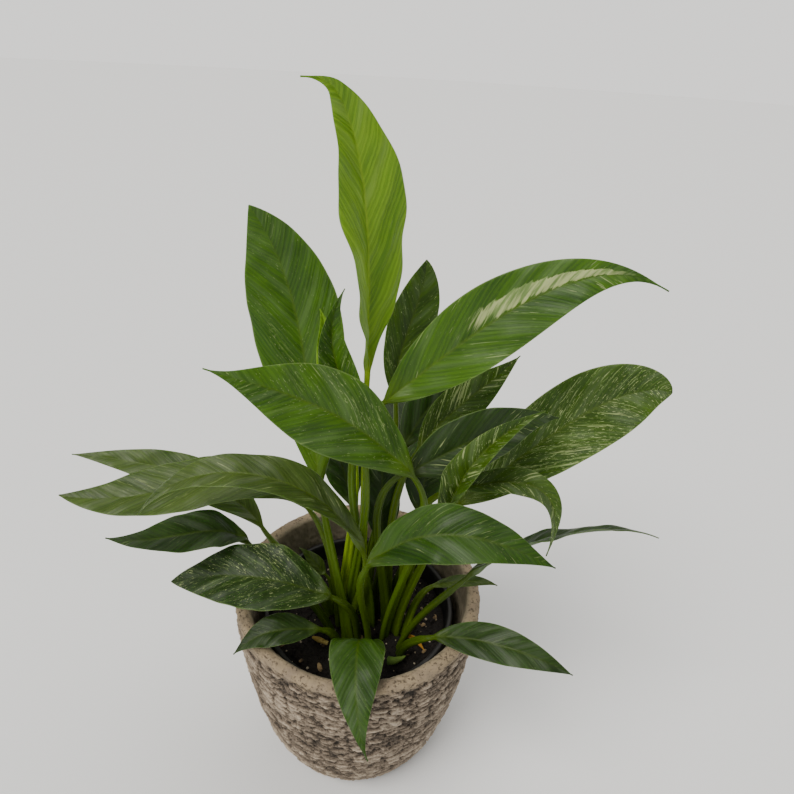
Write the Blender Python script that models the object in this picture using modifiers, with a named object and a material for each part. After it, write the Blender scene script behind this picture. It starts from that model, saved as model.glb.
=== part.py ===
"""A potted peace lily: a rough stone-look pot, a plastic nursery pot inside it, potting mix and the plant.

Metres, +Z up. The origin is the middle of the pot's underside, and the front of the plant faces -Y.
"""

from dataclasses import dataclass
from math import cos, pi, radians, sin

import bmesh
import bpy
import numpy as np

# Driving dimensions of the stone-look pot.
POT_HEIGHT = 0.150
RIM_RADIUS = 0.0875
BASE_RADIUS = 0.057
POT_WALL = 0.0095
POT_FLOOR = 0.011
LIP_ROUND = 0.0035

# The nursery pot stands loose on the pot's floor.
GAP = 0.0003
NURSERY_WALL = 0.0012
NURSERY_CLEARANCE = 0.0085
NURSERY_BELOW_RIM = 0.022
NURSERY_BASE_INSET = 0.013
NURSERY_LIP = 0.0022
NURSERY_LIP_DEPTH = 0.009
DRAIN_SLOTS = 8
SLOT_WIDTH = 0.0034
SLOT_LENGTH = 0.014
SLOT_INSET = 0.022

# The potting mix fills the nursery pot up to SOIL_BELOW_RIM under the stone-look rim.
SOIL_BELOW_RIM = 0.034
SOIL_SAG = 0.003
SOIL_FLAT_RADIUS = 0.046

# The plant. Leaf points are measured from the middle of the soil's surface.
BLADE_THICKNESS = 0.0009
TIP_HALF_WIDTH = 0.0004
STALK_TAPER = 0.35
BLADE_STATIONS = 13
STALK_STATIONS = 6
RING_SIDES = 8
LAYOUT_RIM_RADIUS = 0.0875

WALL_STEPS = 12
POT_SIDES = 56
INNER_SIDES = 40

SOIL_LEVEL = POT_HEIGHT - SOIL_BELOW_RIM
NURSERY_TOP = POT_HEIGHT - NURSERY_BELOW_RIM

# Leaf greens, as linear colours.
FRESH = (0.200, 0.330, 0.040)
MEADOW = (0.090, 0.200, 0.035)
DEEP = (0.035, 0.105, 0.025)
GREYED = (0.120, 0.185, 0.095)
VARIEGATED = (0.110, 0.200, 0.060)


@dataclass
class Leaf:
    """One leaf: a round stalk that opens into a folded blade.

    foot is where the stalk leaves the soil. midrib holds the collar, where the blade starts, the
    points a third and two thirds along the blade, and the tip. face is the direction of the upper
    side at the blade's middle, as azimuth and elevation in degrees. fold lifts each half and twist
    turns the blade along its length, both in degrees. belly is where the blade is widest, as a
    share of its length, and base and point set how drawn out the two ends are.
    """

    name: str
    foot: tuple
    midrib: list
    width: float
    face: tuple
    tint: tuple
    fold: float = 16
    belly: float = 0.4
    base: float = 0.8
    point: float = 1.15
    twist: float = 0
    wave: float = 0.05
    stalk: float = 0.0017
    camber: float = 0.12
    over_rim: bool = False


LEAVES = [
    Leaf(
        "tall_leaf",
        foot=(0.002, 0.003),
        midrib=[(0, 0.008, 0.2), (-0.001, 0.014, 0.252), (-0.007, 0.011, 0.318), (-0.026, -0.005, 0.36)],
        width=0.050,
        face=(-42, 5),
        tint=FRESH,
        fold=24, belly=0.50, base=1.25, point=1.4, twist=-40,
    ),
    Leaf(
        "left_broad_leaf",
        foot=(-0.005, -0.027),
        midrib=[(-0.03, 0.015, 0.108), (-0.041, 0.035, 0.186), (-0.054, 0.045, 0.244), (-0.074, 0.045, 0.287)],
        width=0.060,
        face=(-90, 5),
        tint=MEADOW,
        fold=12, belly=0.5, point=0.85,
    ),
    Leaf(
        "small_folded_leaf",
        foot=(-0.007, -0.008),
        midrib=[(0.001, -0.014, 0.16), (-0.01, -0.006, 0.193), (-0.02, 0.002, 0.221), (-0.013, 0, 0.256)],
        width=0.028,
        face=(-80, 10),
        tint=MEADOW,
        fold=35,
    ),
    Leaf(
        "young_left_leaf",
        foot=(-0.012, 0.003),
        midrib=[(-0.017, 0.01, 0.176), (-0.023, 0.013, 0.197), (-0.025, 0.015, 0.218), (-0.029, 0.016, 0.237)],
        width=0.018,
        face=(-80, 10),
        tint=FRESH,
        fold=30,
    ),
    Leaf(
        "back_leaf",
        foot=(0.004, 0.016),
        midrib=[(0.018, 0.035, 0.168), (0.02, 0.045, 0.199), (0.028, 0.05, 0.23), (0.032, 0.052, 0.259)],
        width=0.032,
        face=(-80, 5),
        tint=VARIEGATED,
        belly=0.55, point=0.8,
    ),
    Leaf(
        "mid_left_leaf",
        foot=(0.02, -0.02),
        midrib=[(0.031, -0.025, 0.151), (-0.004, -0.038, 0.193), (-0.037, -0.05, 0.217), (-0.071, -0.06, 0.233)],
        width=0.046,
        face=(-100, 40),
        tint=MEADOW,
        fold=14, belly=0.45, point=1.4,
    ),
    Leaf(
        "big_right_leaf",
        foot=(0.009, -0.009),
        midrib=[(0.012, -0.006, 0.19), (0.054, -0.01, 0.234), (0.1, -0.016, 0.271), (0.145, -0.025, 0.276)],
        width=0.043,
        face=(-80, 35),
        tint=MEADOW,
        belly=0.38, point=1.5,
    ),
    Leaf(
        "under_right_leaf",
        foot=(0.02, 0.001),
        midrib=[(0.035, 0.012, 0.145), (0.053, 0.018, 0.169), (0.073, 0.022, 0.189), (0.0925, 0.022, 0.212)],
        width=0.028,
        face=(-80, 40),
        tint=VARIEGATED,
    ),
    Leaf(
        "dark_inner_leaf",
        foot=(0.02, 0.011),
        midrib=[(0.026, 0.024, 0.137), (0.038, 0.03, 0.162), (0.053, 0.034, 0.179), (0.071, 0.037, 0.197)],
        width=0.032,
        face=(-100, 40),
        tint=DEEP,
    ),
    Leaf(
        "dark_right_leaf",
        foot=(0.021, -0.008),
        midrib=[(0.028, -0.014, 0.146), (0.055, -0.018, 0.168), (0.082, -0.02, 0.187), (0.11, -0.022, 0.196)],
        width=0.036,
        face=(-70, 30),
        tint=DEEP,
    ),
    Leaf(
        "narrow_folded_leaf",
        foot=(0.027, -0.015),
        midrib=[(0.052, -0.026, 0.118), (0.058, -0.036, 0.156), (0.071, -0.042, 0.188), (0.095, -0.046, 0.214)],
        width=0.026,
        face=(-130, 20),
        tint=VARIEGATED,
        fold=40,
    ),
    Leaf(
        "right_variegated_leaf",
        foot=(0.027, -0.003),
        midrib=[(0.064, 0.005, 0.107), (0.103, 0.008, 0.149), (0.143, 0.005, 0.191), (0.177, -0.005, 0.207)],
        width=0.050,
        face=(-90, 45),
        tint=VARIEGATED,
        belly=0.55, point=0.65, wave=0.09,
    ),
    Leaf(
        "hanging_leaf",
        foot=(0.029, -0.009),
        midrib=[(0.059, -0.008, 0.13), (0.087, -0.016, 0.144), (0.112, -0.027, 0.144), (0.118, -0.032, 0.101)],
        width=0.020,
        face=(-75, 45),
        tint=VARIEGATED,
        fold=26,
    ),
    Leaf(
        "thin_right_leaf",
        foot=(0.031, -0.025),
        midrib=[(0.074, -0.025, 0.073), (0.107, -0.022, 0.099), (0.151, -0.018, 0.112), (0.193, -0.015, 0.106)],
        width=0.022,
        face=(90, 60),
        tint=DEEP,
    ),
    Leaf(
        "rim_small_leaf",
        foot=(0.034, -0.017),
        midrib=[(0.053, -0.005, 0.039), (0.068, -0.006, 0.046), (0.084, -0.008, 0.05), (0.097, -0.01, 0.049)],
        width=0.009,
        face=(-90, 60),
        tint=GREYED,
        over_rim=True,
    ),
    Leaf(
        "lower_right_leaf",
        foot=(0.03, -0.034),
        midrib=[(0.052, -0.05, 0.041), (0.08, -0.058, 0.051), (0.109, -0.068, 0.053), (0.136, -0.075, 0.046)],
        width=0.024,
        face=(-100, 60),
        tint=DEEP,
        over_rim=True,
    ),
    Leaf(
        "front_hanging_leaf",
        foot=(0.012, -0.036),
        midrib=[(0.006, -0.045, 0.016), (0.004, -0.064, 0.046), (0.006, -0.095, 0.039), (0.015, -0.118, 0.018)],
        width=0.035,
        face=(-90, 50),
        tint=MEADOW,
        fold=6, belly=0.36, point=1.6, over_rim=True,
    ),
    Leaf(
        "front_left_small_leaf",
        foot=(-0.009, -0.035),
        midrib=[(-0.022, -0.047, 0.038), (-0.043, -0.054, 0.045), (-0.06, -0.058, 0.042), (-0.075, -0.064, 0.031)],
        width=0.022,
        face=(-90, 70),
        tint=DEEP,
        over_rim=True,
    ),
    Leaf(
        "left_speckled_leaf",
        foot=(0.002, -0.022),
        midrib=[(-0.016, -0.038, 0.059), (-0.045, -0.04, 0.072), (-0.078, -0.038, 0.073), (-0.121, -0.035, 0.061)],
        width=0.047,
        face=(-90, 70),
        tint=DEEP,
        belly=0.5, point=0.8,
    ),
    Leaf(
        "front_right_leaf",
        foot=(0.009, -0.027),
        midrib=[(0.008, -0.045, 0.096), (0.039, -0.056, 0.133), (0.075, -0.062, 0.138), (0.113, -0.065, 0.124)],
        width=0.036,
        face=(-90, 55),
        tint=MEADOW,
    ),
    Leaf(
        "far_left_upper_leaf",
        foot=(-0.019, -0.002),
        midrib=[(-0.074, 0.02, 0.062), (-0.112, 0.036, 0.084), (-0.163, 0.042, 0.096), (-0.216, 0.042, 0.101)],
        width=0.032,
        face=(-90, 55),
        tint=GREYED,
    ),
    Leaf(
        "far_left_wide_leaf",
        foot=(-0.013, -0.009),
        midrib=[(-0.039, 0.012, 0.09), (-0.084, 0.006, 0.114), (-0.139, -0.003, 0.107), (-0.198, -0.009, 0.106)],
        width=0.042,
        face=(-85, 70),
        tint=GREYED,
        belly=0.55, point=0.9,
    ),
    Leaf(
        "arching_left_leaf",
        foot=(-0.006, -0.015),
        midrib=[(0.003, -0.02, 0.082), (-0.035, -0.03, 0.14), (-0.087, -0.036, 0.152), (-0.13, -0.042, 0.123)],
        width=0.030,
        face=(-90, 75),
        tint=GREYED,
        fold=20,
    ),
    Leaf(
        "drooping_left_leaf",
        foot=(-0.015, -0.022),
        midrib=[(-0.076, -0.012, 0.077), (-0.095, -0.023, 0.096), (-0.118, -0.04, 0.104), (-0.148, -0.05, 0.111)],
        width=0.030,
        face=(-90, 65),
        tint=DEEP,
    ),
    Leaf(
        "pot_back_small_leaf",
        foot=(-0.021, 0.008),
        midrib=[(-0.027, 0.015, 0.023), (-0.033, 0.017, 0.029), (-0.039, 0.019, 0.036), (-0.047, 0.02, 0.044)],
        width=0.012,
        face=(-60, 50),
        tint=GREYED,
        stalk=0.001,
    ),
    Leaf(
        "back_left_leaf",
        foot=(-0.008, 0.014),
        midrib=[(-0.01, 0.035, 0.075), (-0.016, 0.045, 0.095), (-0.024, 0.05, 0.114), (-0.034, 0.055, 0.131)],
        width=0.028,
        face=(-80, 30),
        tint=DEEP,
    ),
    Leaf(
        "centre_leaf",
        foot=(0.01, 0.003),
        midrib=[(0.015, 0.008, 0.066), (0.013, 0.011, 0.096), (0.012, 0.013, 0.128), (0.013, 0.015, 0.159)],
        width=0.026,
        face=(-80, 10),
        tint=DEEP,
    ),
    Leaf(
        "inner_right_leaf",
        foot=(0.022, 0.006),
        midrib=[(0.04, 0.014, 0.089), (0.041, 0.018, 0.112), (0.045, 0.02, 0.127), (0.054, 0.02, 0.143)],
        width=0.028,
        face=(-90, 30),
        tint=DEEP,
    ),
    Leaf(
        "rear_leaf",
        foot=(0, 0.02),
        midrib=[(0.014, 0.04, 0.08), (0.022, 0.075, 0.11), (0.027, 0.108, 0.122), (0.03, 0.142, 0.11)],
        width=0.040,
        face=(90, 70),
        tint=DEEP,
    ),
]


def clear_scene():
    for obj in list(bpy.data.objects):
        bpy.data.objects.remove(obj, do_unlink=True)


def new_collection(name):
    collection = bpy.data.collections.new(name)
    bpy.context.scene.collection.children.link(collection)
    return collection


def material(name, color, roughness, metallic=0.0):
    made = bpy.data.materials.new(name)
    made.use_nodes = True
    shader = made.node_tree.nodes["Principled BSDF"]
    shader.inputs["Base Color"].default_value = (*color, 1.0)
    shader.inputs["Roughness"].default_value = roughness
    shader.inputs["Metallic"].default_value = metallic
    return made


def add_object(name, mesh, finish, collection, parent=None, location=(0, 0, 0)):
    obj = bpy.data.objects.new(name, mesh)
    obj.data.materials.append(finish)
    obj.location = location
    obj.parent = parent
    collection.objects.link(obj)
    return obj


def unit(vector):
    return vector / np.linalg.norm(vector)


def bezier(points, steps):
    """Points on a cubic Bezier curve at evenly spaced parameters."""
    a, b, c, d = (np.asarray(point, float) for point in points)
    t = np.linspace(0, 1, steps)[:, None]
    return (1 - t) ** 3 * a + 3 * (1 - t) ** 2 * t * b + 3 * (1 - t) * t**2 * c + t**3 * d


def handles_through(points):
    """The handles of the cubic Bezier that passes through four points at 0, 1/3, 2/3 and 1."""
    a, b, c, d = (np.asarray(point, float) for point in points)
    return [a, (-5 * a + 18 * b - 9 * c + 2 * d) / 6, (2 * a - 9 * b + 18 * c - 5 * d) / 6, d]


# Pots and soil


def pot_wall(offset=0.0):
    """(radius, height) along the pot's side, from the base up, moved inwards by offset."""
    handles = [
        (BASE_RADIUS, 0),
        (BASE_RADIUS + 0.017, 0.12 * POT_HEIGHT),
        (RIM_RADIUS - 0.0015, 0.56 * POT_HEIGHT),
        (RIM_RADIUS, POT_HEIGHT),
    ]
    points = bezier(handles, WALL_STEPS)
    return [(radius - offset, height) for radius, height in points]


def pot_radius_at(height, offset=0.0):
    wall = pot_wall(offset)
    return float(np.interp(height, [point[1] for point in wall], [point[0] for point in wall]))


def pot_profile():
    """The pot's section: inner floor, inner wall up, rounded rim, outer wall down, underside."""
    inside = [point for point in pot_wall(POT_WALL) if POT_FLOOR + 0.008 < point[1] < POT_HEIGHT - LIP_ROUND]
    outside = [point for point in pot_wall() if point[1] < POT_HEIGHT - LIP_ROUND]
    corner = pot_radius_at(POT_FLOOR + 0.008, POT_WALL)
    lip = []
    lip_half = POT_WALL / 2
    for step in range(7):
        angle = pi - pi * step / 6
        lip.append(
            (
                RIM_RADIUS - lip_half + lip_half * cos(angle),
                POT_HEIGHT - LIP_ROUND + LIP_ROUND * sin(angle),
            )
        )
    floor = [(0, POT_FLOOR), (corner - 0.006, POT_FLOOR), (corner - 0.001, POT_FLOOR + 0.003)]
    return floor + inside + lip + outside[::-1] + [(0, 0)]


def nursery_radii():
    """Outer radius of the nursery pot's wall at its base and under its lip."""
    top = RIM_RADIUS - POT_WALL - NURSERY_CLEARANCE - NURSERY_LIP
    base = pot_radius_at(POT_FLOOR + 0.010, POT_WALL) - NURSERY_BASE_INSET
    return base, top


def nursery_profile():
    """Section of the thin nursery pot: floor, inner wall, lip turned out over a short skirt."""
    base, top = nursery_radii()
    under = POT_FLOOR + GAP
    skirt = NURSERY_TOP - NURSERY_LIP_DEPTH
    return [
        (0, under + NURSERY_WALL),
        (base - NURSERY_WALL - 0.002, under + NURSERY_WALL),
        (base - NURSERY_WALL, under + NURSERY_WALL + 0.002),
        (top - NURSERY_WALL, skirt),
        (top - NURSERY_WALL, NURSERY_TOP),
        (top + NURSERY_LIP, NURSERY_TOP),
        (top + NURSERY_LIP, skirt),
        (top + NURSERY_LIP - NURSERY_WALL, skirt),
        (top, skirt + 0.001),
        (base, under + 0.002),
        (base - 0.002, under),
        (0, under),
    ]


def soil_profile():
    """Section of the potting mix, a gap clear of the nursery pot, its edge sunk by SOIL_SAG."""
    base, top = nursery_radii()
    under = POT_FLOOR + GAP + NURSERY_WALL
    skirt = NURSERY_TOP - NURSERY_LIP_DEPTH
    edge = SOIL_LEVEL - SOIL_SAG
    share = (edge - under - 0.002) / (skirt - under - 0.002)
    fill = base + (top - base) * share - NURSERY_WALL - 2 * GAP
    return [
        (0, SOIL_LEVEL),
        (SOIL_FLAT_RADIUS, SOIL_LEVEL),
        (fill, edge),
        (base - NURSERY_WALL - 2 * GAP, under + 0.002 + GAP),
        (base - NURSERY_WALL - 0.002 - 2 * GAP, under + GAP),
        (0, under + GAP),
    ]


def turned(name, profile, sides, finish, collection, parent):
    """A solid of revolution: the profile is one line of edges with a Screw modifier."""
    mesh = bpy.data.meshes.new(name)
    points = [(radius, 0, height) for radius, height in profile]
    mesh.from_pydata(points, [(i, i + 1) for i in range(len(points) - 1)], [])
    obj = add_object(name, mesh, finish, collection, parent)
    screw = obj.modifiers.new("Turn", "SCREW")
    screw.steps = sides
    screw.render_steps = sides
    screw.use_merge_vertices = True
    screw.merge_threshold = 0.00005
    screw.use_smooth_shade = True
    return obj


def slot_cutter(collection, parent):
    """A ring of radial slots through the nursery pot's floor, to let water drain."""
    base, _ = nursery_radii()
    shape = bmesh.new()
    for number in range(DRAIN_SLOTS):
        angle = 2 * pi * number / DRAIN_SLOTS
        made = bmesh.ops.create_cube(shape, size=1.0)["verts"]
        bmesh.ops.scale(shape, vec=(SLOT_LENGTH, SLOT_WIDTH, 0.010), verts=made)
        bmesh.ops.translate(shape, vec=(base - SLOT_INSET, 0, POT_FLOOR), verts=made)
        turn = np.array([[cos(angle), -sin(angle)], [sin(angle), cos(angle)]])
        for vertex in made:
            vertex.co.xy = turn @ np.array(vertex.co.xy)
    mesh = bpy.data.meshes.new("drain_slot_cutter")
    shape.to_mesh(mesh)
    shape.free()
    cutter = bpy.data.objects.new("drain_slot_cutter", mesh)
    cutter.parent = parent
    cutter.hide_render = True
    cutter.display_type = "WIRE"
    collection.objects.link(cutter)
    return cutter


# Leaves


def blade_frames(middle, face, twist):
    """Tangent, side and normal along a midrib. The face direction is carried from its middle."""
    tangents = np.gradient(middle, axis=0)
    tangents /= np.linalg.norm(tangents, axis=1)[:, None]
    azimuth, elevation = radians(face[0]), radians(face[1])
    up = np.array([cos(elevation) * cos(azimuth), cos(elevation) * sin(azimuth), sin(elevation)])
    normals = np.zeros_like(middle)
    centre = len(middle) // 2
    normals[centre] = unit(up - up.dot(tangents[centre]) * tangents[centre])
    onwards = [(i, i - 1) for i in range(centre + 1, len(middle))]
    backwards = [(i, i + 1) for i in range(centre - 1, -1, -1)]
    for here, before in onwards + backwards:
        carried = normals[before]
        normals[here] = unit(carried - carried.dot(tangents[here]) * tangents[here])
    sides = np.cross(tangents, normals)
    turn = radians(twist) * (np.linspace(0, 1, len(middle)) - 0.5)[:, None]
    turned_sides = sides * np.cos(turn) - normals * np.sin(turn)
    turned_normals = normals * np.cos(turn) + sides * np.sin(turn)
    return tangents, turned_sides, turned_normals


def half_width(leaf, share):
    """Half of the blade's width at a share of its length, never thinner than the stalk's end."""
    if share < leaf.belly:
        form = sin(pi / 2 * share / leaf.belly) ** leaf.base
    else:
        form = max(cos(pi / 2 * (share - leaf.belly) / (1 - leaf.belly)), 0) ** leaf.point
    blade = max(leaf.width / 2 * form, TIP_HALF_WIDTH)
    return (blade**2 + (leaf.stalk * (1 - share)) ** 2) ** 0.5


def blade_ring(leaf, centre, side, normal, share):
    """Eight points round the blade: both margins, and three each on the upper and lower side."""
    half = half_width(leaf, share)
    fold = radians(leaf.fold) * (1 + 0.6 * (1 - share) ** 2)
    opening = min(share / 0.12, 1)
    rib = BLADE_THICKNESS / 2 + (leaf.stalk - BLADE_THICKNESS / 2) * (1 - share) ** 2
    flank = leaf.stalk * 0.7 + (BLADE_THICKNESS / 2 - leaf.stalk * 0.7) * opening
    across = (1, 0.5, 0, -0.5, -1, -0.5, 0, 0.5)
    lift = (0, flank, rib, flank, 0, -flank, -rib, -flank)
    ring = []
    for place, rise in zip(across, lift):
        phase = 1.3 if place > 0 else 0
        ripple = leaf.wave * sin(6 * pi * share + phase) - leaf.camber
        height = abs(place) * half * sin(fold) + ripple * half * place**2
        sideways = place * half * cos(fold)
        ring.append(centre + side * sideways + normal * (height + rise))
    return ring


def stalk_rings(leaf, foot, collar, tangent, side, normal):
    """Round sections from the foot to just under the collar, on one smooth curve."""
    reach = np.linalg.norm(collar - foot)
    lean = 0.5 * (collar - foot)
    rise = unit(np.array([lean[0], lean[1], 2 * lean[2] + 0.45 * reach]))
    handles = [foot, foot + 0.38 * reach * rise, collar - 0.30 * reach * tangent, collar]
    middle = bezier(handles, STALK_STATIONS + 1)
    rings = []
    for number in range(STALK_STATIONS):
        share = number / STALK_STATIONS
        along = unit(middle[number + 1] - middle[max(number - 1, 0)])
        if number == 0:
            along = np.array([0, 0, 1.0])
        across = unit(side - side.dot(along) * along)
        upper = np.cross(across, along)
        radius = leaf.stalk * (1 + STALK_TAPER * (1 - share))
        ring = []
        for corner in range(RING_SIDES):
            angle = 2 * pi * corner / RING_SIDES
            ring.append(middle[number] + radius * (cos(angle) * across + sin(angle) * upper))
        rings.append(ring)
    return rings


def leaf_mesh(leaf):
    """A loft from the round stalk to the flat folded blade, closed at foot and tip."""
    spread = RIM_RADIUS / LAYOUT_RIM_RADIUS if leaf.over_rim else 1.0
    foot = np.array([leaf.foot[0], leaf.foot[1], GAP])
    points = [np.array(point) * (spread, spread, 1) for point in leaf.midrib]
    middle = bezier(handles_through(points), BLADE_STATIONS)
    tangents, sides, normals = blade_frames(middle, leaf.face, leaf.twist)
    rings = stalk_rings(leaf, foot, middle[0], tangents[0], sides[0], normals[0])
    for number, centre in enumerate(middle):
        share = number / (BLADE_STATIONS - 1)
        rings.append(blade_ring(leaf, centre, sides[number], normals[number], share))
    shape = bmesh.new()
    loops = [[shape.verts.new(point - foot) for point in ring] for ring in rings]
    for lower, upper in zip(loops, loops[1:]):
        for corner in range(RING_SIDES):
            after = (corner + 1) % RING_SIDES
            shape.faces.new((lower[corner], lower[after], upper[after], upper[corner]))
    shape.faces.new(loops[0][::-1])
    shape.faces.new(loops[-1])
    bmesh.ops.triangulate(shape, faces=shape.faces)
    bmesh.ops.recalc_face_normals(shape, faces=shape.faces)
    mesh = bpy.data.meshes.new(leaf.name)
    shape.to_mesh(mesh)
    shape.free()
    mesh.shade_smooth()
    return mesh, foot


def add_leaf(leaf, collection, plant):
    mesh, foot = leaf_mesh(leaf)
    finish = material(leaf.name, leaf.tint, 0.38)
    return add_object(leaf.name, mesh, finish, collection, plant, foot)


# Small pieces on the soil


def tube_along(name, points, radius, finish, collection, plant):
    """A round rod along a hand-set line, thicker where radius factors say so."""
    curve = bpy.data.curves.new(name, "CURVE")
    curve.dimensions = "3D"
    curve.bevel_depth = radius
    curve.bevel_resolution = 2
    curve.use_fill_caps = True
    spline = curve.splines.new("POLY")
    spline.points.add(len(points) - 1)
    for slot, (x, y, z, factor) in zip(spline.points, points):
        slot.co = (x, y, z, 1)
        slot.radius = factor
    obj = bpy.data.objects.new(name, curve)
    curve.materials.append(finish)
    obj.parent = plant
    collection.objects.link(obj)
    return obj


def add_debris(collection, plant):
    """The withered leaf, a dead stalk and a young bud beside the crown."""
    tube_along(
        "withered_leaf",
        [
            (0.036, -0.022, 0.0040, 0.5),
            (0.041, -0.025, 0.0062, 1.0),
            (0.046, -0.029, 0.0040, 0.8),
            (0.049, -0.032, 0.0035, 0.3),
        ],
        0.0026,
        material("withered_leaf", (0.55, 0.24, 0.03), 0.6),
        collection,
        plant,
    )
    tube_along(
        "dead_stalk",
        [(-0.030, -0.026, 0.0030, 0.6), (-0.025, -0.028, 0.0032, 1.0), (-0.019, -0.030, 0.0030, 0.8)],
        0.0021,
        material("dead_stalk", (0.42, 0.34, 0.08), 0.6),
        collection,
        plant,
    )
    tube_along(
        "young_bud",
        [
            (0.024, -0.041, 0.0035, 1.1),
            (0.028, -0.042, 0.0045, 1.0),
            (0.033, -0.041, 0.0065, 0.6),
            (0.036, -0.040, 0.0080, 0.2),
        ],
        0.0028,
        material("young_bud", (0.16, 0.24, 0.05), 0.5),
        collection,
        plant,
    )


def main():
    clear_scene()
    parts = new_collection("potted_peace_lily")
    cutters = new_collection("cutters")
    stand = bpy.data.objects.new("stand", None)
    plant = bpy.data.objects.new("plant", None)
    plant.location = (0, 0, SOIL_LEVEL)
    parts.objects.link(stand)
    parts.objects.link(plant)

    stone = material("stone_pot", (0.36, 0.32, 0.27), 0.85)
    plastic = material("nursery_pot", (0.02, 0.02, 0.022), 0.45)
    peat = material("potting_mix", (0.022, 0.015, 0.011), 0.95)
    turned("stone_pot", pot_profile(), POT_SIDES, stone, parts, stand)
    nursery = turned("nursery_pot", nursery_profile(), INNER_SIDES, plastic, parts, stand)
    cut = nursery.modifiers.new("Drain slots", "BOOLEAN")
    cut.object = slot_cutter(cutters, stand)
    turned("potting_mix", soil_profile(), INNER_SIDES, peat, parts, stand)
    for leaf in LEAVES:
        add_leaf(leaf, parts, plant)
    add_debris(parts, plant)


main()
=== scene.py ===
"""Looks of a potted peace lily: layered stone pot, nursery pot, potting mix and 29 variegated leaves.

Metres, +Z up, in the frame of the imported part. Every piece replaces or dresses a solid of that part.
"""

from dataclasses import dataclass
from math import cos, pi, radians, sin

import bmesh
import bpy
import numpy as np
from bpy.props import FloatProperty, FloatVectorProperty, IntProperty, PointerProperty
from bpy.types import Operator, Panel, PropertyGroup
from mathutils import Matrix, Vector, noise


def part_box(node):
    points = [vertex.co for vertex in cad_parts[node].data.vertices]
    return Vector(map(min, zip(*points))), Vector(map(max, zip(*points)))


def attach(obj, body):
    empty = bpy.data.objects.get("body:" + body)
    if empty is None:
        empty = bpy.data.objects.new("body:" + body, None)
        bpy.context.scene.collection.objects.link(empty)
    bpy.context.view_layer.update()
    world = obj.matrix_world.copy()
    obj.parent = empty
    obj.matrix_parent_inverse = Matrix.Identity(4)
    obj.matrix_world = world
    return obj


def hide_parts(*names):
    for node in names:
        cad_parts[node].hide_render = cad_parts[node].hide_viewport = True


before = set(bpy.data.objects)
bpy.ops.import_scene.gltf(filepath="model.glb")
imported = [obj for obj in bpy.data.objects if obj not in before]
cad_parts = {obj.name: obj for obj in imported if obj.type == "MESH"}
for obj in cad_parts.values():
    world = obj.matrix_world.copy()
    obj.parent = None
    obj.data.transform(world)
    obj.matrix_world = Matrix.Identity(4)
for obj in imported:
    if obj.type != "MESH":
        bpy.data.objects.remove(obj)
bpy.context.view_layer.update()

bl_info = {
    "name": "Potted Peace Lily",
    "version": (1, 0, 0),
    "blender": (4, 5, 0),
    "location": "View3D > Sidebar > Peace Lily",
    "description": "Builds a variegated peace lily in a layered stone pot around its packed frame",
    "category": "Object",
}

BODY = "root"

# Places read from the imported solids.
POT_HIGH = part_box("stone_pot")[1]
NURSERY_LOW, NURSERY_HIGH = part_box("nursery_pot")
MIX_LOW, MIX_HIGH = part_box("potting_mix")
POT_HEIGHT = POT_HIGH.z
RIM_RADIUS = POT_HIGH.x
SOIL_LEVEL = MIX_HIGH.z

# Walls, floors and lips of the pots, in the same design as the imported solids.
BASE_RADIUS = 0.057
POT_WALL = 0.0095
POT_FLOOR = 0.011
LIP_ROUND = 0.0035
NURSERY_WALL = 0.0012
NURSERY_BASE = 0.0520
NURSERY_LIP = 0.0022
SKIRT_DROP = 0.009
SOIL_SAG = 0.003

# Fineness of the pots, the mix and the rods that lie on it.
POT_SIDES = 431
POT_ROWS = 226
FOOT_BAND = 0.006
NURSERY_SIDES = 120
MIX_SIDES = 180
ROD_RINGS = 28
ROD_SIDES = 14

# Fineness and shape of the leaves.
BLADE_STEPS = 96
STALK_STEPS = 26
RING_POINTS = 44
BLADE_THICKNESS = 0.0007
STALK_FULLNESS = 1.22
TIP_HALF_WIDTH = 0.0004
STALK_TAPER = 0.35
VEIN_SPACING = 0.0052
VEIN_LEAN = 1.5
VEIN_CURVE = 13.0
ROOTED = 0.004
MILLIMETRES = 1000
SCRAP_NUMBER = 40

FLOOR_RADIUS = 14.0
SENSOR_WIDTH = 36.0

CREAM = (0.44, 0.50, 0.22)
PALE_GREEN = (0.17, 0.26, 0.075)


@dataclass
class Tone:
    """A material slot with a leaf's greens, dark and light, and its stalk. Random patches mix the two as the
    leaf's own tone; bands along the side veins mix them as painted shade, darker in the hollows than on the
    ridges.
    """

    slot: str
    dark: tuple
    light: tuple
    stalk: tuple
    gloss: float = 0.36


FRESH = Tone("leaf_fresh", (0.055, 0.150, 0.001), (0.225, 0.400, 0.010), (0.300, 0.460, 0.010))
MEADOW = Tone("leaf_meadow", (0.013, 0.047, 0.001), (0.062, 0.152, 0.002), (0.075, 0.135, 0.002))
# SHADED is a darker copy of MEADOW in the same slot: painted shade for the low front leaves under the crown.
SHADED = Tone("leaf_meadow", (0.008, 0.030, 0.001), (0.034, 0.092, 0.001), (0.060, 0.108, 0.002))
# DEEP is the darkest green, given to the leaves inside, behind and low in the crown: partly their own darker
# green, partly painted shade.
DEEP = Tone("leaf_deep", (0.005, 0.017, 0.001), (0.019, 0.050, 0.001), (0.052, 0.094, 0.002))
GREYED = Tone("leaf_greyed", (0.020, 0.045, 0.004), (0.070, 0.115, 0.016), (0.080, 0.140, 0.006), 0.30)
MARBLED = Tone("leaf_variegated", (0.014, 0.040, 0.001), (0.054, 0.112, 0.003), (0.078, 0.132, 0.003))
DRY = Tone("withered_tissue", (0.360, 0.150, 0.012), (0.620, 0.330, 0.040), (0.450, 0.240, 0.030), 0.6)
STRAW = Tone("withered_tissue", (0.300, 0.210, 0.040), (0.480, 0.380, 0.120), (0.400, 0.300, 0.080), 0.6)


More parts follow.
